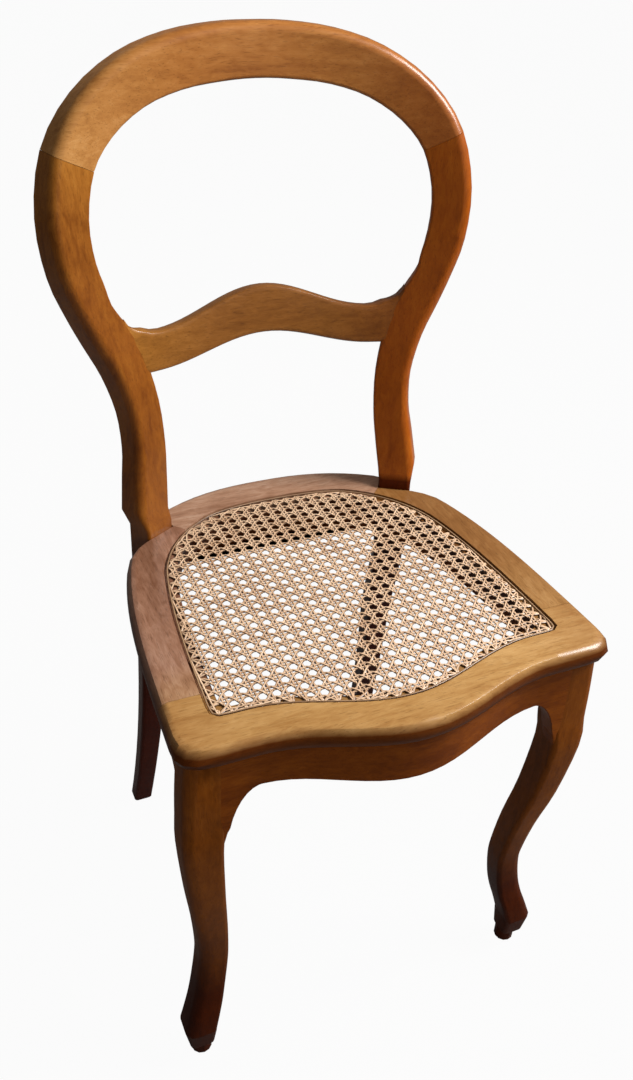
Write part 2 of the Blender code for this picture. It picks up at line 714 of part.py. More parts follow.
def build_side_apron(name, side):
    start = side_apron_end(side, True)[1] + CLEARANCE
    end = hip_corner(side, -1, -1)[1]
    angles = np.linspace(math.pi / 2, BRACKET_START_ANGLE, BRACKET_STATIONS)
    turn = [start + SIDE_BRACKET_LENGTH * (1 - math.sin(angle)) for angle in angles]
    stations = turn + list(np.linspace(start + SIDE_BRACKET_LENGTH, end, SIDE_APRON_STATIONS))
    rings = []
    for y in stations:
        x = side_x(y, APRON_INSET)
        drop = bracket_drop(y - start, SIDE_BRACKET_LENGTH, SIDE_BRACKET_HEIGHT)
        ring = apron_ring((side * x, y), (side * (x - APRON_THICKNESS), y), APRON_BOTTOM - drop)
        rings.append(ring)
    apron = add_object(f"side_apron_{name}", loft(rings), RED_BROWN_WOOD)
    boolean(apron, add_cutter(f"side_apron_room_{name}", rear_leg_room(side)), "DIFFERENCE")
    tenon = apron_tenon(side_apron_end(side, True), (0, -1), False, 0)
    boolean(apron, add_cutter(f"side_apron_front_tenon_{name}", tenon), "UNION")
    tenon = apron_tenon(side_apron_end(side, False), (0, 1), False, 0, SLANTED_ROOT)
    boolean(apron, add_cutter(f"side_apron_rear_tenon_{name}", tenon), "UNION")


# Front legs


def front_leg_rings(side):
    """Sections of a front leg from the peg it stands on up to its flat top."""
    counts = (OUTER_ROUND_POINTS - 2,) * 4
    rings = []

    def add_ring(tuck, setback, z, width, depth, corner, edge):
        x, y = POST_X - tuck * ANKLE_TUCK, POST_Y + setback * ANKLE_SETBACK
        low, high = (-width / 2, -depth / 2), (width / 2, depth / 2)
        section = rounded_section(low, high, (edge, corner, edge, edge), counts)
        rings.append([(side * (x + u), y + v, z) for u, v in section])

    peg = PEG_DIAMETER / 2
    tip = PEG_DIAMETER - 2 * PEG_EDGE
    add_ring(*PEG_SHARES, 0.0, tip, tip, peg, peg)
    add_ring(*PEG_SHARES, PEG_EDGE, PEG_DIAMETER, PEG_DIAMETER, peg, peg)
    add_ring(*PEG_SHARES, PEG_HEIGHT - PEG_EDGE, PEG_DIAMETER, PEG_DIAMETER, peg, peg)
    tuck, setback, size = SOLE_SHARES
    size *= KNEE_SIDE
    add_ring(tuck, setback, PEG_HEIGHT, size, size, LEG_EDGE_ROUND, LEG_EDGE_ROUND)
    rows = catmull(FRONT_LEG_SHARES, STEPS_PER_SHARE)[::-1]
    toe = (rows[0][0] - TOE_EDGE / APRON_TOP, *rows[0][1:])
    for height, tuck, setback, width, depth in [toe, *rows]:
        z, width, depth = height * APRON_TOP, width * KNEE_SIDE, depth * KNEE_SIDE
        add_ring(tuck, setback, z, width, depth, POST_CORNER_ROUND, LEG_EDGE_ROUND)
    return rings


def build_front_leg(name, side):
    leg = add_object(f"front_leg_{name}", loft(front_leg_rings(side)), RED_BROWN_WOOD)
    mortise = apron_tenon(front_apron_end(side), (side, 0), True, CLEARANCE)
    boolean(leg, add_cutter(f"front_leg_mortise_{name}", mortise), "DIFFERENCE")
    mortise = apron_tenon(side_apron_end(side, True), (0, -1), False, CLEARANCE)
    boolean(leg, add_cutter(f"front_leg_side_mortise_{name}", mortise), "DIFFERENCE")
    boolean(leg, add_cutter(f"front_leg_spigot_{name}", spigot(side, 0)), "UNION")


# Hoop of the back


def hoop_stations():
    """Stations of the right half of the hoop, from the hip to the crest.

    Each has its middle point, direction, width, thickness and turn.
    """
    half = BALLOON_MIDDLE_WIDTH / 2
    rise = CREST_HEIGHT - HOOP_WIDTH * HOOP_SHARES[-1][2] / 2 - SEAT_HEIGHT
    turn = math.radians(REAR_LEG_TURN)
    points = []
    for x, z, width, thickness, turned in HOOP_SHARES:
        sizes = (HOOP_WIDTH * width, BACK_THICKNESS * thickness, turn * turned)
        points.append((half * x, SEAT_HEIGHT + rise * z, *sizes))
    mirrored = [(-x, *others) for x, *others in points[-2::-1]]
    curve = catmull(points + mirrored, STEPS_PER_SHARE)
    stations = []
    for i, here in enumerate(curve):
        before, after = curve[max(i - 1, 0)], curve[min(i + 1, len(curve) - 1)]
        direction = np.array((after[0] - before[0], after[1] - before[1]))
        direction = direction / np.linalg.norm(direction)
        stations.append((here[0], here[1], direction, *here[2:]))
    return stations


def hoop_point(station, across, back, shift=0.0):
    """A place in a turned section of the hoop, from its middle, shifted along the hoop."""
    x, z, (along_x, along_z), _, _, turn = station
    u = across * math.cos(turn) + back * math.sin(turn)
    v = back * math.cos(turn) - across * math.sin(turn)
    x, z = x + along_x * shift, z + along_z * shift
    return back_point(x + along_z * u, z - along_x * u, v, x)


def hoop_ring(station, side, shift=0.0, grown=0.0):
    """A section of the hoop square to its middle line, mirrored for the left side."""
    half_width, half_depth = station[3] / 2 + grown, station[4] / 2 + grown
    radii = (BACK_EDGE_ROUND, BACK_OUTER_ROUND, BACK_REAR_ROUND, BACK_EDGE_ROUND)
    counts = (EDGE_ROUND_POINTS, OUTER_ROUND_POINTS, EDGE_ROUND_POINTS, EDGE_ROUND_POINTS)
    section = rounded_section((-half_width, -half_depth), (half_width, half_depth), radii, counts)
    ring = []
    for across, back in section:
        x, y, z = hoop_point(station, across, back, shift)
        ring.append((side * x, y, z))
    return ring


def rear_leg_ring(z, side, shrink=0.0):
    """A level section of a rear leg, turned more and more from above its foot up to the aprons."""
    share = min(z / APRON_BOTTOM, 1.0)
    taper = share**REAR_LEG_TAPER_POWER
    width = REAR_FOOT_SIDE + (REAR_LEG_WIDTH - REAR_FOOT_SIDE) * taper
    depth = REAR_FOOT_SIDE + (REAR_LEG_DEPTH - REAR_FOOT_SIDE) * taper
    turned = ease(z, REAR_LEG_TURN_HEIGHT, APRON_BOTTOM)
    turn = math.radians(REAR_LEG_TURN) * turned
    splay = REAR_FOOT_SPLAY * max(1 - z / SEAT_HEIGHT, 0.0) ** REAR_LEG_SPLAY_POWER
    middle_x = REAR_LEG_X + splay + REAR_LEG_OUTWARD * turned
    rake = min(z - SEAT_HEIGHT, 0.0) ** 2 / (2 * REAR_LEG_RAKE_RADIUS)
    middle_y = BACK_Y - REAR_LEG_FRONT_Y + depth / 2 - REAR_LEG_FORWARD * turned + rake
    radii = (REAR_LEG_EDGE_ROUND,) * 4
    counts = (EDGE_ROUND_POINTS, OUTER_ROUND_POINTS, EDGE_ROUND_POINTS, EDGE_ROUND_POINTS)
    low, high = (shrink - width / 2, shrink - depth / 2), (width / 2 - shrink, depth / 2 - shrink)
    ring = []
    for u, v in rounded_section(low, high, radii, counts):
        x = middle_x + u * math.cos(turn) + v * math.sin(turn)
        ring.append((side * x, middle_y + v * math.cos(turn) - u * math.sin(turn), z))
    return ring


def rear_leg_rings(side):
    """Sections of a rear leg from the floor up to the crest joint."""
    rings = [rear_leg_ring(0.0, side, FOOT_CHAMFER), rear_leg_ring(FOOT_CHAMFER, side)]
    rings += [rear_leg_ring(z, side) for z in np.linspace(0, APRON_BOTTOM, REAR_LEG_STATIONS)[1:]]
    rings.append(rear_leg_ring(SEAT_HEIGHT, side))
    rings.append(rear_leg_ring(SEAT_HEIGHT + HIP_BASE_HEIGHT, side))
    stations = hoop_stations()[: STEPS_PER_SHARE * CREST_JOINT_STATION + 1]
    stations = [station for station in stations if station[1] > SEAT_HEIGHT + HIP_HEIGHT]
    for i, station in enumerate(stations):
        shift = -CLEARANCE / 2 if i == len(stations) - 1 else 0.0
        rings.append(hoop_ring(station, side, shift))
    return rings


def joint_frame(side):
    """Middle, direction across and direction along the hoop at the crest joint."""
    station = hoop_stations()[STEPS_PER_SHARE * CREST_JOINT_STATION]
    middle = Vector(hoop_point(station, 0.0, 0.0))
    along = (Vector(hoop_point(station, 0.0, 0.0, OVERRUN)) - middle).normalized()
    across = (Vector(hoop_point(station, OVERRUN, 0.0)) - middle).normalized()
    for vector in (middle, across, along):
        vector.x *= side
    return middle, across, along


def crest_dowel(side, place, grown):
    middle, across, along = joint_frame(side)
    centre = middle + across * place * DOWEL_SPACING / 2
    half = DOWEL_LENGTH / 2 + grown
    return rod(centre - along * half, centre + along * half, DOWEL_DIAMETER + 2 * grown)


def cross_tenon(side, grown):
    """The tenon at an end of the cross rail, or its mortise in the rear leg."""
    z = SEAT_HEIGHT + CROSS_RAIL_HEIGHT + CROSS_RAIL_END_WIDTH / 2
    inner = hoop_middle_x(z) - HOOP_WIDTH / 2
    xs = sorted((side * (inner - SLANTED_ROOT), side * (inner + CROSS_TENON_LENGTH + grown)))
    y = back_middle(inner, z)
    half_y, half_z = TENON_THICKNESS / 2 + grown, CROSS_TENON_HEIGHT / 2 + grown
    return block((xs[0], y - half_y, z - half_z), (xs[1], y + half_y, z + half_z))


def build_rear_leg(name, side):
    leg = add_object(f"rear_leg_{name}", loft(rear_leg_rings(side)), HONEY_WOOD)
    mortise = apron_tenon(rear_apron_end(side), (side, 0), True, CLEARANCE, SLANTED_ROOT)
    boolean(leg, add_cutter(f"rear_leg_mortise_{name}", mortise), "DIFFERENCE")
    mortise = apron_tenon(side_apron_end(side, False), (0, 1), False, CLEARANCE, SLANTED_ROOT)
    boolean(leg, add_cutter(f"rear_leg_side_mortise_{name}", mortise), "DIFFERENCE")
    mortise = cross_tenon(side, CLEARANCE)
    boolean(leg, add_cutter(f"cross_mortise_{name}", mortise), "DIFFERENCE")
    for place_name, place in (("inner", -1), ("outer", 1)):
        hole = add_cutter(f"leg_dowel_hole_{name}_{place_name}", crest_dowel(side, place, CLEARANCE))
        boolean(leg, hole, "DIFFERENCE")


def build_crest():
    stations = hoop_stations()
    first = STEPS_PER_SHARE * CREST_JOINT_STATION
    kept = stations[first : len(stations) - first]
    rings = []
    for i, station in enumerate(kept):
        shift = CLEARANCE / 2 if i == 0 else -CLEARANCE / 2 if i == len(kept) - 1 else 0.0
        rings.append(hoop_ring(station, 1, shift))
    crest = add_object("crest_rail", loft(rings), HONEY_WOOD)
    for name, side in SIDES:
        for place_name, place in (("inner", -1), ("outer", 1)):
            hole = add_cutter(f"crest_hole_{name}_{place_name}", crest_dowel(side, place, CLEARANCE))
            boolean(crest, hole, "DIFFERENCE")
            add_object(f"crest_dowel_{name}_{place_name}", crest_dowel(side, place, 0), DOWEL_WOOD)


def hoop_middle_x(z):
    """The middle of the right rear leg at a height above the hip."""
    places = hoop_stations()[: STEPS_PER_SHARE * CREST_JOINT_STATION]
    return float(np.interp(z, [place[1] for place in places], [place[0] for place in places]))


def stile_room(side):
    """The room that a rear leg takes up beside the cross rail, with the clearance round it."""
    low = SEAT_HEIGHT + CROSS_RAIL_HEIGHT - 2 * CROSS_RAIL_END_WIDTH
    high = SEAT_HEIGHT + CROSS_RAIL_HEIGHT + 3 * CROSS_RAIL_END_WIDTH
    places = hoop_stations()[: STEPS_PER_SHARE * CREST_JOINT_STATION]
    return loft([hoop_ring(place, side, 0.0, CLEARANCE) for place in places if low < place[1] < high])


def cross_rail_edge(x, top):
    """The lower or upper edge of the cross rail: an arch, and a rise where it meets a leg."""
    arch = hump(x, CROSS_RAIL_ARCH_HALF_WIDTH)
    z = SEAT_HEIGHT + CROSS_RAIL_HEIGHT + CROSS_RAIL_ARCH * arch
    if top:
        widening = (CROSS_RAIL_MIDDLE_WIDTH - CROSS_RAIL_END_WIDTH) * arch
        near = abs(x) - CROSS_RAIL_ARCH_HALF_WIDTH
        rise = CROSS_RAIL_END_RISE * ease(near, 0.0, CROSS_RAIL_END_RISE_LENGTH)
        z += CROSS_RAIL_END_WIDTH + widening + rise
    return z


def cross_rail_ring(x):
    """An upright section of the cross rail with rounded edges."""
    half = CROSS_RAIL_THICKNESS / 2
    low, high = (-half, cross_rail_edge(x, False)), (half, cross_rail_edge(x, True))
    radii, counts = (CROSS_RAIL_EDGE_ROUND,) * 4, (EDGE_ROUND_POINTS,) * 4
    return [back_point(x, z, depth, x) for depth, z in rounded_section(low, high, radii, counts)]


def build_cross_rail():
    """The cross rail, its ends scribed to the two legs."""
    end = hoop_middle_x(SEAT_HEIGHT + CROSS_RAIL_HEIGHT + CROSS_RAIL_END_WIDTH / 2)
    rings = [cross_rail_ring(x) for x in np.linspace(-end, end, CROSS_RAIL_STATIONS)]
    rail = add_object("cross_rail", loft(rings), HONEY_WOOD)
    for name, side in SIDES:
        boolean(rail, add_cutter(f"stile_room_{name}", stile_room(side)), "DIFFERENCE")
        boolean(rail, add_cutter(f"cross_tenon_{name}", cross_tenon(side, 0)), "UNION")


# Cane


def cane_hole(x, y):
    """An eight-sided prism through the net."""
    half = CANE_HOLE / 2
    cut = half * (1 - 2 * CANE_HOLE_CORNER_SHARE)
    low = SEAT_HEIGHT - REBATE_DEPTH - OVERRUN
    high = SEAT_HEIGHT + OVERRUN
    outline = []
    for a, b in ((half, cut), (cut, half), (-cut, half), (-half, cut)):
        outline.append((x + a, y + b))
    outline += [(2 * x - a, 2 * y - b) for a, b in outline]
    return [[(a, b, z) for a, b in outline] for z in (low, high)]


def cane_holes():
    """Middles of the holes, in rows and columns, that fit inside the border."""
    reach = CANE_HOLE / 2 + CANE_MARGIN
    border = half_outline(
        FRONT_BORDER + reach,
        SIDE_BORDER + reach,
        REAR_BORDER + reach,
        BORDER_FRONT_CORNER_LENGTH,
        BORDER_REAR_CORNER_LENGTH,
    )
    columns = int(SEAT_FRONT_WIDTH / CANE_PITCH) + 1
    places = []
    for i in range(-columns, columns + 1):
        for j in range(-columns, columns + 1):
            x, y = i * CANE_PITCH, j * CANE_PITCH
            angle = math.atan2(y, abs(x))
            if math.hypot(x, y) < outline_reach(border, [angle])[0]:
                places.append((x, y))
    return places


def build_cane():
    """The woven net on the ledge of the rebate, and the strand that binds its edge."""
    low = SEAT_HEIGHT - REBATE_DEPTH + CLEARANCE
    outline = border_outline(CLEARANCE)
    net = loft([outline_points(outline, z) for z in (low, low + CANE_THICKNESS)])
    net = add_object("cane_seat", net, CANE, smooth=False)
    cutter = bmesh.new()
    for x, y in cane_holes():
        rings = [[cutter.verts.new(point) for point in ring] for ring in cane_hole(x, y)]
        count = len(rings[0])
        for k in range(count):
            m = (k + 1) % count
            cutter.faces.new((rings[0][k], rings[0][m], rings[1][m], rings[1][k]))
        cutter.faces.new(rings[0])
        cutter.faces.new(rings[1])
    boolean(net, add_cutter("cane_hole_pattern", cutter), "DIFFERENCE")

    base = low + CANE_THICKNESS + CLEARANCE
    loops = []
    for inset, height in ((0, 0), (0, 1), (1, 1), (1, 0)):
        edge = border_outline(CLEARANCE + inset * BINDING_WIDTH)
        loops.append(outline_points(edge, base + height * BINDING_THICKNESS))
    add_object("cane_binding", loft(loops, closed=True), CANE, smooth=False)


def centre_on_footprint():
    """Moves the whole chair so that its origin is the middle of the floor it covers."""
    bpy.context.view_layer.update()
    graph = bpy.context.evaluated_depsgraph_get()
    lows, highs = [], []
    for obj in bpy.data.objects:
        if obj.type != "MESH" or obj.hide_render:
            continue
        corners = np.array([vertex.co for vertex in obj.evaluated_get(graph).data.vertices])
        lows.append(corners.min(axis=0))
        highs.append(corners.max(axis=0))
    low, high = np.min(lows, axis=0), np.max(highs, axis=0)
    chair = bpy.data.objects.new("chair", None)
    bpy.context.scene.collection.objects.link(chair)
    for obj in bpy.data.objects:
        if obj.type == "MESH":
            obj.parent = chair
    chair.location = (-(low[0] + high[0]) / 2, -(low[1] + high[1]) / 2, -low[2])


def main():
    clear_scene()
    build_frame()
    build_front_apron()
    build_rear_apron()
    for name, side in SIDES:
        build_side_apron(name, side)
        build_front_leg(name, side)
        build_rear_leg(name, side)
    build_crest()
    build_cross_rail()
    build_cane()
    centre_on_footprint()


main()
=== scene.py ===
"""Looks of a waxed side chair with an open balloon back and a seat woven in cane.

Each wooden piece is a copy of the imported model's, with its free edges eased, and three kinds of piece are
reshaped a little where they meet their neighbours. The net that stands in for the seat is replaced by the
whole six-way weave: pairs of strands from front to back and from side to side, and single strands on both
diagonals, pulled together into the holes of the frame.
"""

from __future__ import annotations

import logging
import math
from dataclasses import dataclass
from enum import Enum
from typing import Iterable, Sequence, Union

import bmesh
import bpy
import numpy as np
from mathutils import Matrix, Vector
from mathutils.bvhtree import BVHTree


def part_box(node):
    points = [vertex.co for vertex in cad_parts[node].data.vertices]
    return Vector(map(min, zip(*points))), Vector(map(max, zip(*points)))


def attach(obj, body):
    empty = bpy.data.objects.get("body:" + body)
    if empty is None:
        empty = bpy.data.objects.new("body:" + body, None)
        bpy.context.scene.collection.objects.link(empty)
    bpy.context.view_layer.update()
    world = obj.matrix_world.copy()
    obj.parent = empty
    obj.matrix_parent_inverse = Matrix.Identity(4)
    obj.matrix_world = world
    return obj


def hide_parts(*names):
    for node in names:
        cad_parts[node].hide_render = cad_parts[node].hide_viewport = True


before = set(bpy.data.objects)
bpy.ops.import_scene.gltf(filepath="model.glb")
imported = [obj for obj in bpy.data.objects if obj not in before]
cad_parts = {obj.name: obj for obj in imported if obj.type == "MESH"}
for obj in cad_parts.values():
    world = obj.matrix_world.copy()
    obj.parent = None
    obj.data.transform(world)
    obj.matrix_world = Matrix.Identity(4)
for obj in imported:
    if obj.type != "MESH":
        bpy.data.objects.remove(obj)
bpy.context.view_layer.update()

Colour = tuple[float, float, float]
Place = tuple[float, float, float]
Range = tuple[float, float]
Number = Union[float, "Value"]
Settings = dict[str, object]
Inputs = dict[Union[int, str], object]

LOG = logging.getLogger("chair")
BODY = "root"
PHOTO_WIDTH, PHOTO_HEIGHT = 633, 1080
SENSOR = 36.0

# The axes of an object
X, Y, Z = 0, 1, 2

# The Mix node's sockets for colours, which share their names with its other sockets
MIX_FACTOR, MIX_FIRST, MIX_SECOND, MIX_RESULT = 0, 6, 7, 2

OPAQUE = 1.0
WHITE = (1.0, 1.0, 1.0, OPAQUE)

# A strength or a share with nothing held back
FULL = 1.0

# Corners nearer than this are one corner, and faces that meet flatter than this are one face
SAME_PLACE = 0.000002
FLAT_ANGLE = math.radians(0.4)

# How near a corner lies to a cutting plane that runs through it
CUT_SLACK = 0.00001


class Value:
    """A number, a colour or a vector that comes out of a node, with Python's operators."""

    def __init__(self, graph: "Graph", socket: bpy.types.NodeSocket) -> None:
        """Wraps one output socket of a graph."""
        self.graph = graph
        self.socket = socket

    def _math(self, operation: str, first: Number, second: Number) -> "Value":
        """Adds a Math node for two numbers."""
        return self.graph.value("ShaderNodeMath", {"operation": operation}, {0: first, 1: second})

    def __add__(self, other: Number) -> "Value":
        """This value plus another."""
        return self._math("ADD", self, other)

    def __radd__(self, other: Number) -> "Value":
        """Another value plus this one."""
        return self._math("ADD", other, self)

    def __sub__(self, other: Number) -> "Value":
        """This value less another."""
        return self._math("SUBTRACT", self, other)

    def __rsub__(self, other: Number) -> "Value":
        """Another value less this one."""
        return self._math("SUBTRACT", other, self)

    def __mul__(self, other: Number) -> "Value":
        """This value times another."""
        return self._math("MULTIPLY", self, other)

    def __rmul__(self, other: Number) -> "Value":
        """Another value times this one."""
        return self._math("MULTIPLY", other, self)

    def __abs__(self) -> "Value":
        """This value without its sign."""
        return self.graph.value("ShaderNodeMath", {"operation": "ABSOLUTE"}, {0: self})

    def clamped(self) -> "Value":
        """This value held between 0 and 1."""
        return self.graph.value("ShaderNodeClamp", {}, {0: self})


@dataclass(frozen=True)
class Noise:
    """How fine and how rough a smooth noise is.

    Attributes:
        scale: how often it varies in each unit of its place.
        detail: how many finer layers it has.
        roughness: how strong the finer layers are.
        distortion: how far it is swirled.
    """

    scale: float
    detail: float
    roughness: float
    distortion: float = 0.0


class Graph:
    """The nodes of one material, or of the world."""

    def __init__(self, owner: Union[bpy.types.Material, bpy.types.World]) -> None:
        """Empties the nodes of a new material or world.

        Args:
            owner: the material or the world.
        """
        owner.use_nodes = True
        self.owner = owner
        self.tree = owner.node_tree
        self.tree.nodes.clear()

    def node(self, kind: str, settings: Settings, inputs: Inputs) -> bpy.types.Node:
        """Adds a node.

        Args:
            kind: the node's type.
            settings: its own settings, and under "stops" a ramp's places and colours.
            inputs: numbers, colours, nodes' values or sockets, by the socket's name or number.

        Returns:
            The node.
        """
        node = self.tree.nodes.new(kind)
        for name, setting in settings.items():
            if name == "stops":
                self._set_stops(node.color_ramp, setting)
            else:
                setattr(node, name, setting)
        for key, given in inputs.items():
            socket = node.inputs[key]
            if isinstance(given, Value):
                self.tree.links.new(given.socket, socket)
            elif isinstance(given, bpy.types.NodeSocket):
                self.tree.links.new(given, socket)
            else:
                socket.default_value = given
        return node

    def value(self, kind: str, settings: Settings, inputs: Inputs, output: Union[int, str] = 0) -> Value:
        """Adds a node and gives one of its outputs as a value."""
        return Value(self, self.node(kind, settings, inputs).outputs[output])

    @staticmethod
    def _set_stops(ramp: bpy.types.ColorRamp, stops: Sequence[tuple[float, Colour]]) -> None:
        """Gives a ramp its stops.

        Args:
            ramp: the ramp of a Color Ramp node.
            stops: places from 0 to 1 with their colours.
        """
        while len(ramp.elements) < len(stops):
            ramp.elements.new(1.0)
        for element, (place, colour) in zip(ramp.elements, stops):
            element.position = place
            element.color = (*colour, OPAQUE)

    def blend(self, factor: Number, first: object, second: object, mode: str = "MIX") -> Value:
        """Mixes two colours.

        Args:
            factor: how much of the second there is.
            first: a colour or a value.
            second: a colour or a value.
            mode: the Mix node's blend type.

        Returns:
            The mixed colour.
        """
        below, above = (given if isinstance(given, Value) else (*given, OPAQUE) for given in (first, second))
        return self.value("ShaderNodeMix", {"data_type": "RGBA", "blend_type": mode},
                          {MIX_FACTOR: factor, MIX_FIRST: below, MIX_SECOND: above}, MIX_RESULT)

    def place(self) -> Value:
        """Where a point lies on the object, in metres."""
        return self.value("ShaderNodeTexCoord", {}, {}, "Object")

    def part(self, vector: Value, axis: int) -> Value:
        """One number of a vector."""
        return self.value("ShaderNodeSeparateXYZ", {}, {0: vector}, axis)

    def scaled(self, place: Value, scale: Place, shift: Place = (0.0, 0.0, 0.0)) -> Value:
        """A place stretched along each axis and shifted, so that pieces don't share one pattern."""
        return self.value("ShaderNodeMapping", {}, {"Vector": place, "Location": shift, "Scale": scale})

    def noise(self, place: Value, kind: Noise) -> Value:
        """Smooth noise from 0 to 1."""
        return self.value("ShaderNodeTexNoise", {}, {
            "Vector": place, "Scale": kind.scale, "Detail": kind.detail, "Roughness": kind.roughness,
            "Distortion": kind.distortion})

    def ramp(self, factor: Number, stops: Sequence[tuple[float, Colour]]) -> Value:
        """A colour looked up along a ramp."""
        return self.value("ShaderNodeValToRGB", {"stops": stops}, {0: factor})

    def band(self, factor: Number, low: float, high: float) -> Value:
        """A number that rises from 0 at low to 1 at high."""
        return self.value("ShaderNodeMapRange", {}, {"Value": factor, "From Min": low, "From Max": high})

    def bump(self, height: Number, strength: float, distance: float) -> Value:
        """The normal of a surface with small relief."""
        return self.value("ShaderNodeBump", {}, {
            "Height": height, "Strength": strength, "Distance": distance})

    def surface(self, inputs: Inputs) -> bpy.types.Material:
        """Ends the material in one Principled shader.

        Args:
            inputs: the shader's sockets.

        Returns:
            The finished material.
        """
        shader = self.node("ShaderNodeBsdfPrincipled", {}, inputs)
        self.node("ShaderNodeOutputMaterial", {}, {"Surface": shader.outputs[0]})
        return self.owner


class Grain(Enum):
    """The way the fibres of a piece run, as the stretch of its pattern along each axis."""

    ACROSS = (0.07, 1.0, 1.0)
    DEEP = (1.0, 0.07, 1.0)
    UPRIGHT = (1.0, 1.0, 0.07)


@dataclass(frozen=True)
class Zone:
    """A part of a piece whose colour is multiplied, with a soft, ragged border; most are painted light and
    shade.

    Attributes:
        axis: the axis along which it changes.
        start: where it starts, in metres.
        end: from where on it is full.
        tint: what the colour is multiplied by.
        dulled: how much of the wax is gone there, from 0 to 1.
    """

    axis: int
    start: float
    end: float
    tint: Colour
    dulled: float = 0.0


@dataclass(frozen=True)
class Stain:
    """A stain: the record's slot for it, and its colours.

    Attributes:
        slot: the record's slot.
        dark: the colour of the darkest bands.
        middle: the usual colour.
        light: the colour of the lightest bands.
        zones: the parts whose colour is changed, mostly painted light and shade.
    """

    slot: str
    dark: Colour
    middle: Colour
    light: Colour
    zones: tuple[Zone, ...] = ()


@dataclass(frozen=True)
class WaxedWood:
    """Stained and waxed wood with fine fibres, slow bands and a patina.

    Attributes:
        name: the material's name.
        stain: its colours.
        grain: the way the fibres run.
        shift: where in the pattern the piece lies.
        roughness: how matt the wax is.
        coat: the weight of the wax.
        coat_roughness: how matt the reflection in the wax is.
        gloss: the level of the wood's own reflection.
        bands: the slow bands along the fibres.
        fibres: the fibres themselves.
        pores: the pores, seen as short dark flecks.
        mottle: cloudy spots, a little longer along the fibres than across them.
        patina: the large uneven parts that use has left.
        mottle_stretch: the power of the fibres' stretch that the mottle has.
        tone_shares: how much of the tone the bands, the mottle, the fibres and the patina make up.
        tone_range: the tones that take the stain's darkest and lightest colours.
        fleck_range: the noise where a fleck starts and where it is full.
        fleck_weight: how strong a full fleck is.
        fleck_shade: the colour of a fleck, as a share of the stain's darkest.
        raggedness: how far the border of a zone wanders, as a share of the border's width.
        smudge_range: the patina where a smudge in the wax starts and where it is full.
        polish: how much smoother the wax is where nothing has dulled it.
        smudge_matt: how much rougher a full smudge is.
        mottle_matt: how much rougher the full mottle is.
        relief_shares: how far the fibres and the mottle rise, and how far the flecks sink.
        bump_strength: how strongly the relief bends the light.
        bump_distance: the height of the relief, in metres.
    """

    name: str
    stain: Stain
    grain: Grain
    shift: Place
    roughness: float = 0.38
    coat: float = 0.55
    coat_roughness: float = 0.25
    gloss: float = 0.08
    bands: Noise = Noise(38.0, 5.0, 0.62, 0.6)
    fibres: Noise = Noise(420.0, 3.0, 0.6, 0.2)
    pores: Noise = Noise(1500.0, 1.0, 0.5)
    mottle: Noise = Noise(150.0, 4.0, 0.62, 0.8)
    patina: Noise = Noise(13.0, 3.0, 0.6, 0.5)
    mottle_stretch: float = 0.4
    tone_shares: tuple[float, float, float, float] = (0.34, 0.30, 0.16, 0.20)
    tone_range: Range = (0.37, 0.64)
    fleck_range: Range = (0.60, 0.72)
    fleck_weight: float = 0.45
    fleck_shade: float = 0.40
    raggedness: float = 0.6
    smudge_range: Range = (0.35, 0.7)
    polish: float = 0.05
    smudge_matt: float = 0.10
    mottle_matt: float = 0.06
    relief_shares: tuple[float, float, float] = (0.6, 0.5, 1.2)
    bump_strength: float = 0.15
    bump_distance: float = 0.0003

    def _painted_zones(self, graph: Graph, place: Value, patina: Value, colour: Value) -> tuple[Value, Number]:
        """Lays the zones over the stain, most of them painted light and shade.

        Args:
            graph: the material's nodes.
            place: where a point lies on the piece.
            patina: the noise that makes the zones' borders ragged.
            colour: the colour of the sound wood.

        Returns:
            The colour with its zones of painted light and shade, and the weight of its wax.
        """
        wax: Number = self.coat
        for zone in self.stain.zones:
            ragged = (patina - 0.5) * (self.raggedness * abs(zone.start - zone.end))
            inside = graph.band(graph.part(place, zone.axis) + ragged, zone.start, zone.end)
            colour = graph.blend(inside, colour, graph.blend(FULL, colour, zone.tint, "MULTIPLY"))
            if zone.dulled > 0.0:
                wax = (1.0 - inside * zone.dulled) * wax
        return colour, wax

    def material(self) -> bpy.types.Material:
        """Makes the finish.

        Returns:
            The material.
        """
        graph = Graph(bpy.data.materials.new(self.name))
        stain = self.stain
        place = graph.place()
        along = graph.scaled(place, self.grain.value, self.shift)
        wider = tuple(part ** self.mottle_stretch for part in self.grain.value)
        wide = graph.scaled(place, wider, self.shift)
        bands, fibres, pores = (graph.noise(along, kind) for kind in (self.bands, self.fibres, self.pores))
        mottle = graph.noise(wide, self.mottle)
        patina = graph.noise(place, self.patina)

        of_bands, of_mottle, of_fibres, of_patina = self.tone_shares
        tone = bands * of_bands + mottle * of_mottle + fibres * of_fibres + patina * of_patina
        colour = graph.ramp(graph.band(tone, *self.tone_range),
                            ((0.0, stain.dark), (0.5, stain.middle), (1.0, stain.light)))
        flecks = graph.band(pores, *self.fleck_range) * self.fleck_weight
        colour = graph.blend(flecks, colour, tuple(self.fleck_shade * part for part in stain.dark))
        colour, wax = self._painted_zones(graph, place, patina, colour)

        smudge = graph.band(patina, *self.smudge_range)
        sheen = self.roughness - self.polish + smudge * self.smudge_matt + mottle * self.mottle_matt
        fibre_rise, mottle_rise, fleck_depth = self.relief_shares
        relief = fibres * fibre_rise + mottle * mottle_rise - flecks * fleck_depth
        return graph.surface({
            "Base Color": colour,
            "Roughness": sheen,
            "Coat Weight": wax,
            "Coat Roughness": self.coat_roughness,
            "Specular IOR Level": self.gloss,
            "Normal": graph.bump(relief, self.bump_strength, self.bump_distance),
        })


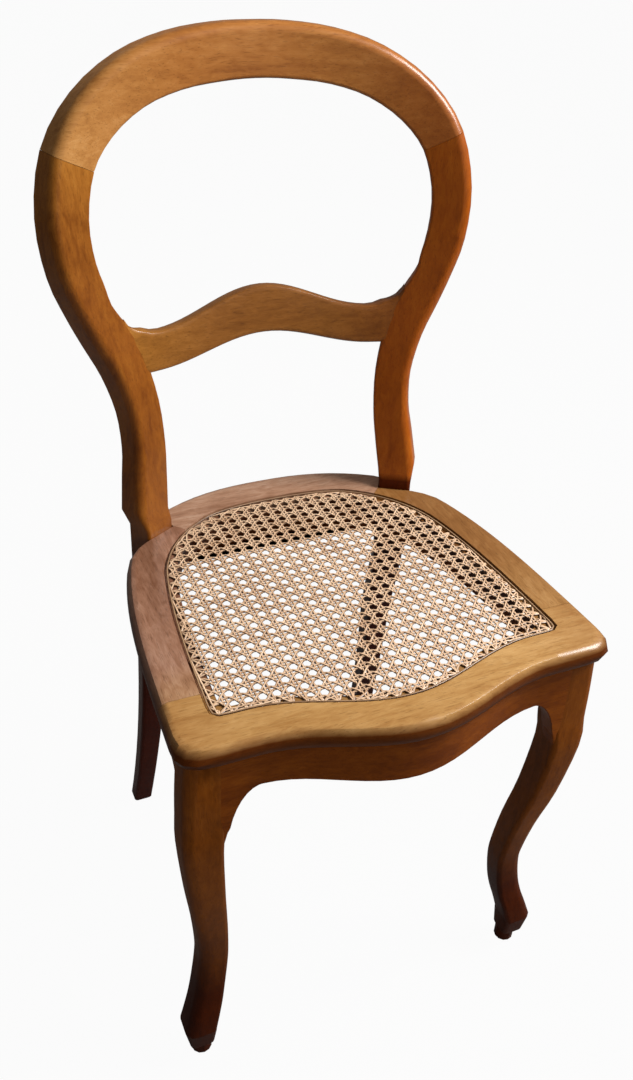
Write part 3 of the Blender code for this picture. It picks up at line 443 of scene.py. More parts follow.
@dataclass(frozen=True)
class PeeledCane:
    """The glossy skin of split rattan, with fine lines along each strand.

    Its patterns read the attribute "lay": how far along its strand and how far from the strand's middle a
    point lies, in metres, and the strand's number.

    Attributes:
        name: the material's name.
        slot: the record's slot for it.
        dark: the colour of the worn strands.
        light: the colour of the pale strands.
        grime_and_shade: the colour of the dirt and painted shade along a strand's edges.
        edge_from: how far from a strand's middle the dirt and painted shade start.
        edge_to: how far from a strand's middle they are full.
        grime_and_shade_weight: how strong the full dirt and painted shade are.
        line_stretch: how the fine lines stretch along, across and from strand to strand.
        strand_stretch: how the strands' own tones stretch in the same way.
        lines: the fine lines.
        strands: the tones that set one strand off from the next.
        mottle: the cloudy spots that run over all strands.
        tone_shares: how much of the tone the lines, the strands and the mottle make up.
        tone_range: the tones that take the dark and the light colour.
        roughness: how matt the dark strands are.
        polish: how much smoother the light strands are.
        coat: the weight of the skin's gloss.
        coat_roughness: how matt that gloss is.
        bump_strength: how strongly the lines bend the light.
        bump_distance: the depth of the lines, in metres.
    """

    name: str = "natural_cane"
    slot: str = "cane"
    dark: Colour = (0.36, 0.175, 0.075)
    light: Colour = (0.94, 0.67, 0.44)
    # This dark edge colour is dirt and also painted shade in the gaps between strands.
    grime_and_shade: Colour = (0.070, 0.026, 0.008)
    edge_from: float = 0.00036
    edge_to: float = 0.00086
    grime_and_shade_weight: float = 0.92
    line_stretch: Place = (60.0, 1600.0, 1.0)
    strand_stretch: Place = (7.0, 0.0, 11.3)
    lines: Noise = Noise(1.0, 2.0, 0.6)
    strands: Noise = Noise(1.0, 1.0, 0.5)
    mottle: Noise = Noise(45.0, 2.0, 0.6)
    tone_shares: tuple[float, float, float] = (0.3, 0.45, 0.25)
    tone_range: Range = (0.3, 0.66)
    roughness: float = 0.42
    polish: float = 0.08
    coat: float = 0.2
    coat_roughness: float = 0.25
    bump_strength: float = 0.25
    bump_distance: float = 0.0002

    def material(self) -> bpy.types.Material:
        """Makes the finish.

        Returns:
            The material.
        """
        graph = Graph(bpy.data.materials.new(self.name))
        lay = graph.value("ShaderNodeAttribute", {"attribute_name": "lay"}, {}, "Vector")
        lines = graph.noise(graph.scaled(lay, self.line_stretch), self.lines)
        strand = graph.noise(graph.scaled(lay, self.strand_stretch), self.strands)
        mottle = graph.noise(graph.place(), self.mottle)
        of_lines, of_strand, of_mottle = self.tone_shares
        tone = graph.band(lines * of_lines + strand * of_strand + mottle * of_mottle, *self.tone_range)
        colour = graph.blend(tone, self.dark, self.light)
        aside = abs(graph.part(lay, Y))
        soiled_and_shaded = graph.band(aside, self.edge_from, self.edge_to) * self.grime_and_shade_weight
        return graph.surface({
            "Base Color": graph.blend(soiled_and_shaded, colour, self.grime_and_shade),
            "Roughness": self.roughness - tone * self.polish,
            "Coat Weight": self.coat,
            "Coat Roughness": self.coat_roughness,
            "Normal": graph.bump(lines, self.bump_strength, self.bump_distance),
        })


@dataclass(frozen=True)
class PaleFloor:
    """A floor that looks white to the camera and shows the chair's shadow faintly.

    Attributes:
        name: the material's name.
        matt: the colour that lights the chair from below and takes its shadow.
        glow: how white the camera sees the floor.
        mirrored: how white the floor is in the wax and in the cane's gloss.
    """

    name: str = "pale_floor"
    matt: Colour = (0.20, 0.195, 0.185)
    glow: float = 0.96
    mirrored: float = 0.03

    def material(self) -> bpy.types.Material:
        """Makes the finish.

        Returns:
            The material.
        """
        graph = Graph(bpy.data.materials.new(self.name))
        matt = graph.node("ShaderNodeBsdfDiffuse", {}, {"Color": (*self.matt, OPAQUE)})
        glow = graph.node("ShaderNodeEmission", {}, {"Color": WHITE, "Strength": FULL})
        path = graph.node("ShaderNodeLightPath", {}, {})
        camera, glossy, passing = (Value(graph, path.outputs[name]) for name in (
            "Is Camera Ray", "Is Glossy Ray", "Is Transmission Ray"))
        seen = (camera * self.glow + (glossy + passing) * self.mirrored).clamped()
        mixed = graph.node("ShaderNodeMixShader", {}, {0: seen, 1: matt.outputs[0], 2: glow.outputs[0]})
        graph.node("ShaderNodeOutputMaterial", {}, {"Surface": mixed.outputs[0]})
        return graph.owner


def linked(name: str, data: bpy.types.ID) -> bpy.types.Object:
    """Puts a new object into the scene.

    Args:
        name: the object's name.
        data: its mesh, lamp or camera.

    Returns:
        The object.
    """
    thing = bpy.data.objects.new(name, data)
    bpy.context.scene.collection.objects.link(thing)
    return thing


def finished(shape: bmesh.types.BMesh, name: str) -> bpy.types.Mesh:
    """Turns a bmesh into a mesh and frees it.

    Args:
        shape: the bmesh.
        name: the mesh's name.

    Returns:
        The mesh.
    """
    mesh = bpy.data.meshes.new(name)
    shape.to_mesh(mesh)
    shape.free()
    return mesh


def dress(piece: bpy.types.Object, material: bpy.types.Material) -> None:
    """Gives every slot of a piece one material.

    Args:
        piece: a CAD node or a new piece, which has no slot yet.
        material: what its surface is.
    """
    if not piece.material_slots:
        piece.data.materials.append(material)
    for place in piece.material_slots:
        place.material = material


def place_piece(mesh: bpy.types.Mesh, name: str, node: str, slot: str) -> bpy.types.Object:
    """Puts a finished mesh into the scene as a piece that stands for a CAD node.

    Args:
        mesh: the piece's mesh, in the row frame.
        name: the piece's name.
        node: the CAD node that it stands for.
        slot: the record's slot for its finish; not used.

    Returns:
        The piece.
    """
    piece = linked(name, mesh)
    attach(piece, BODY)
    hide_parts(node)
    LOG.info("%s: %d faces", name, len(mesh.polygons))
    return piece


def grid_line(place: float, cells: int) -> int:
    """The number of the line that a corner lies on, in a grid that reaches from -1 to 1."""
    return round((place + 1.0) / 2.0 * cells)


@dataclass
class CaneStrand:
    """One split strand: a path, and the flat domed section that follows it.

    Attributes:
        path: the strand's middle, from end to end.
        number: the strand's number, which sets its tint.
        width: the strand's width.
        thickness: the strand's thickness.
        closed: whether the strand is a ring.
        section: the corners of the section, in shares of the width and of the thickness.
        merge_share: how near two corners are one, as a share of the thickness.
    """

    path: list[Vector]
    number: int
    width: float
    thickness: float
    closed: bool = False
    section: tuple[tuple[float, float], ...] = (
        (-0.50, -0.40), (0.50, -0.40), (0.50, 0.0), (0.27, 0.42), (-0.27, 0.42), (-0.50, 0.0))
    merge_share: float = 0.001

    def frames(self) -> list[tuple[Vector, Vector, Vector]]:
        """Finds how the strand lies along its path.

        Returns:
            The place, the sideways direction and the upward direction at each point of the path.
        """
        found = []
        count = len(self.path)
        for i, here in enumerate(self.path):
            if self.closed:
                before, after = self.path[(i - 1) % count], self.path[(i + 1) % count]
            else:
                before, after = self.path[max(i - 1, 0)], self.path[min(i + 1, count - 1)]
            along = (after - before).normalized()
            aside = Vector((along.y, -along.x, 0.0)).normalized()
            found.append((here, aside, aside.cross(along)))
        return found

    def add_to(self, mesh: bmesh.types.BMesh) -> None:
        """Wraps a grid round the path and adds it to a mesh.

        Args:
            mesh: what the strand is added to.
        """
        frames = self.frames()
        if self.closed:
            frames.append(frames[0])
        sides, steps = len(self.section), len(frames) - 1
        strand = bmesh.new()
        lay = strand.verts.layers.float_vector.new("lay")
        bmesh.ops.create_grid(strand, x_segments=steps, y_segments=sides, size=1.0)
        reach = [0.0]
        for (here, _, _), (after, _, _) in zip(frames, frames[1:]):
            reach.append(reach[-1] + (after - here).length)
        for vertex in strand.verts:
            step = grid_line(vertex.co.x, steps)
            across, up = self.section[grid_line(vertex.co.y, sides) % sides]
            here, aside, upward = frames[step]
            vertex.co = here + aside * (across * self.width) + upward * (up * self.thickness)
            vertex[lay] = Vector((reach[step], across * self.width, float(self.number)))
        bmesh.ops.remove_doubles(strand, verts=strand.verts, dist=self.thickness * self.merge_share)
        if not self.closed:
            bmesh.ops.holes_fill(strand, edges=strand.edges, sides=sides)
        bmesh.ops.recalc_face_normals(strand, faces=strand.faces)
        part = finished(strand, "strand")
        mesh.from_mesh(part)
        bpy.data.meshes.remove(part)


def braided(strands: Iterable[CaneStrand], name: str) -> bpy.types.Mesh:
    """Lays strands into one smooth mesh that notes where each point lies on its strand.

    Args:
        strands: the strands.
        name: the mesh's name.

    Returns:
        The mesh.
    """
    weave = bmesh.new()
    weave.verts.layers.float_vector.new("lay")
    for strand in strands:
        strand.add_to(weave)
    mesh = finished(weave, name)
    mesh.shade_smooth()
    return mesh


class Lay(Enum):
    """The four ways that strands run, with the pitches that each takes in one step."""

    FRONT_TO_BACK = (0.0, 1.0)
    SIDE_TO_SIDE = (1.0, 0.0)
    RISING = (1.0, 1.0)
    FALLING = (1.0, -1.0)

    @property
    def paired(self) -> bool:
        """Whether the strands that run this way lie in pairs."""
        return self in (Lay.FRONT_TO_BACK, Lay.SIDE_TO_SIDE)


@dataclass
class CaneSeat:
    """The woven seat, in the rebate of the seat frame.

    Attributes:
        pitch_x: the distance between neighbouring pairs that run from front to back.
        pitch_y: the distance between neighbouring pairs that run from side to side.
        phase_x: where a pair of strands runs from front to back.
        phase_y: where a pair of strands runs from side to side.
        most_pitches: more pitches than the seat has on either side of its middle.
        pair: the distance between the two strands of a pair, as a share of the pitch.
        width: a strand's width.
        thickness: a strand's thickness.
        lift: how far the weave lies above the middle of the CAD's net.
        pair_rise: how far a paired strand goes over or under, in thicknesses.
        diagonal_rise: how far a diagonal strand goes over or under, in thicknesses.
        drill_inset: how far the drilled holes lie inside the binding's outer edge.
        gather: the length over which a strand leaves its line for its hole.
        gather_share: the longest that this can be, as a share of the strand.
        shortest: the shortest stretch that gets a strand, in pitches.
        tail: a strand's way from its line into its hole, as shares of the way with heights in thicknesses.
        ring_points: how many points follow the seat's outer edge.
        ring_grain: the angle within which the edge's corners count as one, in degrees.
        slope_reach: how many points away the edge's direction is taken from.
        crease: the angle from which a strand's edge is shaded as sharp, in degrees.
        edge_out: how far the binding strand lies outside the drilled holes.
        edge_lift: how far it lies above the weave.
        edge_width: its width.
        edge_thickness: its thickness.
        edge_number: its number, which sets its tint.
        finish: the cane of the weave.
        edge_finish: the cane of the binding strand, darker than the weave.
    """

    pitch_x: float = 0.0123
    pitch_y: float = 0.01275
    phase_x: float = 0.0012
    phase_y: float = -0.0074
    most_pitches: int = 40
    pair: float = 0.27
    width: float = 0.0020
    thickness: float = 0.00085
    lift: float = 0.0003
    pair_rise: float = 0.5
    diagonal_rise: float = 0.95
    drill_inset: float = 0.0032
    gather: float = 0.0095
    gather_share: float = 0.4
    shortest: float = 0.9
    tail: tuple[tuple[float, float], ...] = ((0.0, 0.0), (0.45, 0.0), (0.84, -0.3), (1.0, -3.2))
    ring_points: int = 360
    ring_grain: float = 0.4
    slope_reach: int = 2
    crease: float = 50.0
    edge_out: float = 0.0006
    edge_lift: float = 0.0008
    edge_width: float = 0.0018
    edge_thickness: float = 0.0008
    edge_number: int = 500
    finish: PeeledCane = PeeledCane()
    edge_finish: PeeledCane = PeeledCane(
        name="darker_binding_cane", dark=(0.16, 0.075, 0.033), light=(0.46, 0.29, 0.155),
        edge_from=0.0003, edge_to=0.0008)

    def __post_init__(self) -> None:
        """Reads where the seat lies from the CAD's net and binding."""
        low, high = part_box("cane_seat")
        self.level = (low[Z] + high[Z]) / 2.0 + self.lift
        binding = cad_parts["cane_binding"].data
        points = np.array([(vertex.co.x, vertex.co.y) for vertex in binding.vertices])
        self.middle = (points.min(axis=0) + points.max(axis=0)) / 2.0
        self.rim = self._outer_ring(points)
        self.holes = self._drilled_holes()

    def _outer_ring(self, points: np.ndarray) -> np.ndarray:
        """The outer edge of the binding, as points in order round the seat.

        Args:
            points: the corners of the binding's mesh, seen from above.

        Returns:
            The points of the edge.
        """
        away = points - self.middle
        angles = np.arctan2(away[:, Y], away[:, X])
        reach = np.hypot(away[:, X], away[:, Y])
        ring: list[tuple[float, float]] = []
        last = -math.inf
        for i in np.argsort(angles):
            if angles[i] - last >= math.radians(self.ring_grain):
                ring.append((angles[i], reach[i]))
                last = angles[i]
            elif reach[i] > ring[-1][1]:
                ring[-1] = (ring[-1][0], reach[i])
        turns = np.linspace(-math.pi, math.pi, self.ring_points, endpoint=False)
        ring_angles, ring_reach = (np.array(row) for row in zip(*ring))
        smooth = np.interp(turns, ring_angles, ring_reach, period=2.0 * math.pi)
        return self.middle + np.stack((np.cos(turns), np.sin(turns)), axis=1) * smooth[:, None]

    def _inset(self, depth: float) -> np.ndarray:
        """The rim moved inwards.

        Args:
            depth: how far it moves.

        Returns:
            The moved points.
        """
        along = np.roll(self.rim, -self.slope_reach, axis=0) - np.roll(self.rim, self.slope_reach, axis=0)
        along /= np.linalg.norm(along, axis=1)[:, None]
        inward = np.stack((-along[:, Y], along[:, X]), axis=1)
        return self.rim + inward * depth

    def _drilled_holes(self) -> np.ndarray:
        """Finds where the frame is drilled: evenly round the seat, one pitch apart.

        Returns:
            The middles of the holes.
        """
        line = self._inset(self.drill_inset)
        closed = np.vstack((line, line[:1]))
        steps = np.linalg.norm(np.diff(closed, axis=0), axis=1)
        reach = np.concatenate(([0.0], np.cumsum(steps)))
        count = round(reach[-1] / self.pitch_x)
        stations = (np.arange(count) + 0.5) * reach[-1] / count
        return np.stack([np.interp(stations, reach, closed[:, axis]) for axis in (X, Y)], axis=1)

    def _span(self, point: np.ndarray, along: np.ndarray) -> tuple[float, float] | None:
        """Where a straight line crosses the ring of drilled holes.

        Args:
            point: a point of the line.
            along: the line's direction.

        Returns:
            The distances from the point to the two ends of the longest stretch inside, or None.
        """
        ring = self._inset(self.drill_inset)
        nexts = np.roll(ring, -1, axis=0)
        square = np.array((-along[Y], along[X]))
        here, there = (ring - point) @ square, (nexts - point) @ square
        crossing = here * there < 0
        share = here[crossing] / (here[crossing] - there[crossing])
        points = ring[crossing] + (nexts[crossing] - ring[crossing]) * share[:, None]
        found = np.sort((points - point) @ along)
        if len(found) < 2:
            return None
        spans = [(found[i], found[i + 1]) for i in range(0, len(found) - 1, 2)]
        return max(spans, key=lambda span: span[1] - span[0])

    def _wave(self, lay: Lay, second: bool) -> list[tuple[float, float]]:
        """Heights of a strand along one pitch.

        Args:
            lay: the way that the strand runs.
            second: whether it is the second strand of its pair.

        Returns:
            Places along the strand, as shares of the pitch, with the heights there, in thicknesses.
        """
        half = self.pair / 2.0
        if lay.paired:
            rise = self.pair_rise if second == (lay is Lay.FRONT_TO_BACK) else -self.pair_rise
            return [(-half, rise), (half, -rise), (0.5 - half, 0.0), (0.5 + half, 0.0)]
        rise = self.diagonal_rise if lay is Lay.RISING else -self.diagonal_rise
        return [(-half, rise), (half, rise), (0.5 - half, -rise), (0.5 + half, -rise)]

    def _tail(self, leaving: np.ndarray, meeting: np.ndarray) -> list[Vector]:
        """A strand's way from its line down into the nearest hole.

        Args:
            leaving: where the strand leaves its line.
            meeting: where its line would meet the ring of holes.

        Returns:
            The points of the way, from the line to the hole.
        """
        hole = self.holes[np.argmin(np.linalg.norm(self.holes - meeting, axis=1))]
        return [Vector((*(leaving + (hole - leaving) * share), self.level + drop * self.thickness))
                for share, drop in self.tail]

    def _strand(self, lay: Lay, line: float, second: bool, number: int) -> CaneStrand | None:
        """One strand of the weave.

        Args:
            lay: the way it runs.
            line: where its line crosses the axis that it is counted on.
            second: whether it is the second of a pair.
            number: its number.

        Returns:
            The strand, or None where its line misses the seat.
        """
        along = np.array(lay.value) * (self.pitch_x, self.pitch_y)
        unit = float(np.linalg.norm(along))
        along /= unit
        start = np.array((line, self.phase_y) if lay is Lay.FRONT_TO_BACK else (self.phase_x, line))
        span = self._span(start, along)
        if span is None or span[1] - span[0] < self.pitch_x * self.shortest:
            return None
        first, last = span
        gather = min(self.gather, (last - first) * self.gather_share)
        stations = sorted(
            ((turn + share) * unit, rise)
            for turn in range(math.floor(first / unit) - 1, math.ceil(last / unit) + 2)
            for share, rise in self._wave(lay, second)
            if first + gather < (turn + share) * unit < last - gather)
        path = [Vector((*(start + along * reach), self.level + rise * self.thickness))
                for reach, rise in stations]
        starting = self._tail(start + along * (first + gather), start + along * first)
        ending = self._tail(start + along * (last - gather), start + along * last)
        return CaneStrand(starting[::-1] + path + ending, number, self.width, self.thickness)

    def _lines(self, lay: Lay) -> Iterable[tuple[float, bool]]:
        """Counts the lines that run one way.

        Args:
            lay: the way they run.

        Returns:
            Where each line lies, and whether it is the second of its pair.
        """
        phase, pitch = self.phase_y, self.pitch_y
        if lay is Lay.FRONT_TO_BACK:
            phase, pitch = self.phase_x, self.pitch_x
        for step in range(-self.most_pitches, self.most_pitches):
            if lay.paired:
                for side in (-1, 1):
                    yield phase + (step + side * self.pair / 2.0) * pitch, side > 0
            else:
                yield phase + (step + 0.5) * pitch, False

    def _family(self, lay: Lay) -> Iterable[CaneStrand]:
        """Makes the strands that run one way.

        Args:
            lay: the way they run.

        Returns:
            The strands.
        """
        for number, (line, second) in enumerate(self._lines(lay), start=1):
            strand = self._strand(lay, line, second, number)
            if strand is not None:
                yield strand

    def _binding(self) -> None:
        """Lays the flat strand that covers the drilled holes, all round the seat."""
        line = self._inset(self.drill_inset - self.edge_out)
        path = [Vector((x, y, self.level + self.edge_lift)) for x, y in line]
        strand = CaneStrand(path, self.edge_number, self.edge_width, self.edge_thickness, closed=True)
        mesh = braided([strand], "cane_edge")
        piece = place_piece(mesh, "cane_edge", "cane_binding", self.edge_finish.slot)
        dress(piece, self.edge_finish.material())

    def build(self) -> None:
        """Weaves the seat and binds its edge."""
        material = self.finish.material()
        for lay in Lay:
            name = "cane_" + lay.name.lower()
            mesh = braided(self._family(lay), name)
            mesh.set_sharp_from_angle(angle=math.radians(self.crease))
            dress(place_piece(mesh, name, "cane_seat", self.finish.slot), material)
        self._binding()


@dataclass
class WoodPiece:
    """One wooden piece: the CAD's shape, with its free edges eased as hands and wax ease them.

    Attributes:
        node: the CAD node's name.
        finish: the wood and its wax.
        others: the surfaces of the pieces that it may meet, by node.
        ease: how far a sharp edge is eased.
        ease_steps: how many steps round an eased edge.
        crease: the angle from which an edge counts as sharp, in degrees.
        joint: how near another piece lies to an edge that stays sharp, as the edge of a glued joint.
        closed: how much of the gap of a glued joint the piece's own edge takes up, from 0 to 1.
        corner: the angle from which a free edge is shaded as sharp, in degrees.
    """

    node: str
    finish: WaxedWood
    others: dict[str, BVHTree]
    ease: float = 0.0008
    ease_steps: int = 2
    crease: float = 32.0
    joint: float = 0.0011
    closed: float = 0.0
    corner: float = 60.0

    def _merged(self) -> bmesh.types.BMesh:
        """Copies the node, with its corners merged and its flat faces whole.

        Returns:
            The copy.
        """
        wood = bmesh.new()
        wood.from_mesh(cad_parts[self.node].data)
        bmesh.ops.remove_doubles(wood, verts=wood.verts, dist=SAME_PLACE)
        bmesh.ops.dissolve_limit(wood, angle_limit=FLAT_ANGLE, verts=wood.verts, edges=wood.edges,
                                 use_dissolve_boundaries=False)
        return wood

    def _shape(self, wood: bmesh.types.BMesh) -> None:
        """Reshapes the copy; a plain piece stays as it is."""

    def _touched(self, point: Vector) -> Vector | None:
        """Finds what lies against a point of the piece.

        Args:
            point: the point.

        Returns:
            The nearest point of another piece, or None where none is near.
        """
        trees = [tree for node, tree in self.others.items() if node != self.node]
        found = [tree.find_nearest(point, self.joint) for tree in trees]
        found = [(distance, place) for place, _, _, distance in found if place is not None]
        return min(found, key=lambda near: near[0])[1] if found else None

    def _in_joint(self, edge: bmesh.types.BMEdge) -> bool:
        """Whether an edge lies against another piece."""
        return self._touched((edge.verts[0].co + edge.verts[1].co) / 2.0) is not None

    def _close_joints(self, wood: bmesh.types.BMesh) -> None:
        """Moves what lies against another piece towards it, so that a glued joint shows no wide gap.

        Args:
            wood: the copy of the node.
        """
        for vertex in wood.verts:
            place = self._touched(vertex.co)
            if place is not None:
                vertex.co = vertex.co.lerp(place, self.closed)

    def _set_corners(self, wood: bmesh.types.BMesh) -> None:
        """Marks the edges that are shaded as sharp: real corners, and the edges of joints.

        Args:
            wood: the copy of the node.
        """
        limit, corner = math.radians(self.crease), math.radians(self.corner)
        for edge in wood.edges:
            angle = edge.calc_face_angle(0.0)
            edge.smooth = not (angle > corner or (angle > limit and self._in_joint(edge)))

    def _ease(self, wood: bmesh.types.BMesh) -> None:
        """Rounds the sharp edges that lie free.

        Args:
            wood: the copy of the node.
        """
        limit = math.radians(self.crease)
        sharp = [edge for edge in wood.edges
                 if edge.is_manifold and edge.calc_face_angle(0.0) > limit and not self._in_joint(edge)]
        bmesh.ops.bevel(wood, geom=sharp, offset=self.ease, offset_type="OFFSET", segments=self.ease_steps,
                        profile=0.5, affect="EDGES", clamp_overlap=True, material=-1)

    def build(self) -> None:
        """Makes the piece and dresses it."""
        wood = self._merged()
        self._shape(wood)
        self._ease(wood)
        for face in wood.faces:
            face.smooth = True
        self._set_corners(wood)
        if self.closed > 0.0:
            self._close_joints(wood)
        name = self.node + "_waxed"
        piece = place_piece(finished(wood, name), name, self.node, self.finish.stain.slot)
        piece.modifiers.new("even_normals", "WEIGHTED_NORMAL").keep_sharp = True
        dress(piece, self.finish.material())


def cut_across(wood: bmesh.types.BMesh, places: Iterable[float], axis: int) -> None:
    """Cuts a mesh along parallel planes, so that it can be bent there.

    Args:
        wood: the mesh.
        places: where the planes lie.
        axis: the axis that they stand across.
    """
    square = Vector([float(axis == i) for i in (X, Y, Z)])
    for place in places:
        bmesh.ops.bisect_plane(wood, geom=[*wood.verts, *wood.edges, *wood.faces], dist=CUT_SLACK,
                               plane_co=square * place, plane_no=square)


def held(share: float) -> float:
    """A number held between 0 and 1."""
    return min(max(share, 0.0), 1.0)


@dataclass
class Apron(WoodPiece):
    """A rail under the seat, glued to the legs and to the frame, whose joints are drawn closer."""

    closed: float = 0.6


@dataclass
class FrontApron(Apron):
    """The shaped rail under the front, whose brackets run out on the front legs.

    Attributes:
        end: how far from the chair's middle the brackets end.
        leg_x: how far from the chair's middle the leg's rounded corner has its centre.
        leg_y: where that centre lies from front to back.
        leg_radius: the radius of the leg's corner.
        play: how far the bracket keeps off the corner.
        tip_height: the height below which a bracket's tip is drawn out.
        tip_drop: how far it is drawn down.
        tip_out: how far it then follows the leg outwards.
        cuts: how many steps follow the corner.
    """

    end: float = 0.1592
    leg_x: float = 0.1643
    leg_y: float = -0.1740
    leg_radius: float = 0.0050
    play: float = 0.0001
    tip_height: float = 0.3530
    tip_drop: float = 0.0140
    tip_out: float = 0.0014
    cuts: int = 6

    def _shape(self, wood: bmesh.types.BMesh) -> None:
        """Runs the brackets out over the rounded corners of the legs, and draws their tips down.

        Args:
            wood: the copy of the apron.
        """
        cut_across(wood, [self.leg_y - self.leg_radius * step / self.cuts for step in range(self.cuts)], Y)
        for vertex in wood.verts:
            if abs(abs(vertex.co.x) - self.end) > self.play:
                continue
            ahead = min(max(self.leg_y - vertex.co.y, 0.0), self.leg_radius)
            corner = self.leg_x - math.sqrt(self.leg_radius ** 2 - ahead ** 2)
            reach = max(corner - self.play, self.end)
            if vertex.co.z < self.tip_height:
                vertex.co.z -= self.tip_drop
                reach += self.tip_out
            vertex.co.x = math.copysign(reach, vertex.co.x)


@dataclass
class CrossRail(WoodPiece):
    """The cross rail, whose upper edge sweeps up into the stiles.

    Attributes:
        sweep_end: how far from the chair's middle the rail meets the stile at its front.
        end_slant: how much further the rail reaches for each metre towards its back.
        front_y: where the rail's front lies at its ends.
        sweep_length: how long the sweep is along the rail.
        sweep_radius: the radius of the sweep.
        sweep_out: how far the sweep's tip reaches outwards, up the leaning stile.
        still_height: the height below which the rail keeps its shape.
        rise_power: how much the sweep is left to the rail's uppermost part.
        cuts: how many steps the sweep has.
        cut_span: how far the steps go, in lengths of the sweep.
    """

    sweep_end: float = 0.1335
    end_slant: float = 0.5
    front_y: float = 0.153
    sweep_length: float = 0.0145
    sweep_radius: float = 0.0250
    sweep_out: float = 0.0085
    still_height: float = 0.630
    rise_power: float = 1.5
    cuts: int = 12
    cut_span: float = 1.6
    closed: float = 0.6

    def _shape(self, wood: bmesh.types.BMesh) -> None:
        """Sweeps the upper edge up at both ends.

        Args:
            wood: the copy of the rail.
        """
        start = self.sweep_end - self.sweep_length
        top = max(vertex.co.z for vertex in wood.verts if abs(vertex.co.x) > start)
        steps = [start + self.sweep_length * self.cut_span * step / self.cuts for step in range(self.cuts)]
        cut_across(wood, [side * step for side in (-1.0, 1.0) for step in steps], X)
        for vertex in wood.verts:
            side = math.copysign(1.0, vertex.co.x)
            reach = abs(vertex.co.x) - self.end_slant * (vertex.co.y - self.front_y) - start
            along = held(reach / self.sweep_length)
            upper = held((vertex.co.z - self.still_height) / (top - self.still_height)) ** self.rise_power
            run = along * (self.sweep_length + self.sweep_out)
            vertex.co.x += side * self.sweep_out * along * upper
            vertex.co.z += (self.sweep_radius - math.sqrt(self.sweep_radius ** 2 - run ** 2)) * upper


@dataclass
class Stile(WoodPiece):
    """A rear leg, whose inner side is hollowed a little more where it turns towards the cross rail.

    Attributes:
        hollow_height: where the hollow is deepest.
        hollow_depth: how deep it is.
        hollow_spread: how far it spreads up and down.
        hollow_reach: how far it can be seen, in spreads.
        hollow_power: how much the hollow is left to the stile's inner side.
        turn: how far the stile is turned to face the chair's middle, in degrees.
        cut_step: the distance between the cuts that let it bend.
    """

    hollow_height: float = 0.681
    hollow_depth: float = 0.0048
    hollow_spread: float = 0.012
    hollow_reach: float = 3.0
    hollow_power: float = 1.5
    turn: float = 30.0
    cut_step: float = 0.003

    def _shape(self, wood: bmesh.types.BMesh) -> None:
        """Hollows the inner side.

        Args:
            wood: the copy of the rear leg.
        """
        low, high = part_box(self.node)
        side = math.copysign(1.0, low[X] + high[X])
        reach = self.hollow_reach * self.hollow_spread
        cut_across(wood, np.arange(self.hollow_height - reach, self.hollow_height + reach, self.cut_step), Z)
        turn = math.radians(self.turn)
        outward = Vector((side * math.cos(turn), -math.sin(turn), 0.0))
        near = [vertex for vertex in wood.verts if abs(vertex.co.z - self.hollow_height) < reach]
        heights = np.array([vertex.co.z for vertex in near])
        places = np.array([vertex.co.dot(outward) for vertex in near])
        for vertex, height, place in zip(near, heights, places):
            level = places[abs(heights - height) < self.cut_step]
            share = (level.max() - place) / max(level.max() - level.min(), self.cut_step)
            fall = math.exp(-0.5 * ((height - self.hollow_height) / self.hollow_spread) ** 2)
            vertex.co += outward * (self.hollow_depth * fall * float(share) ** self.hollow_power)


# Painted shade under the seat's rounded edge: its lower half is darkened, and no wax is rubbed there
NOSE_PAINTED_SHADE = Zone(Z, 0.4560, 0.4495, (0.24, 0.11, 0.04), 1.0)


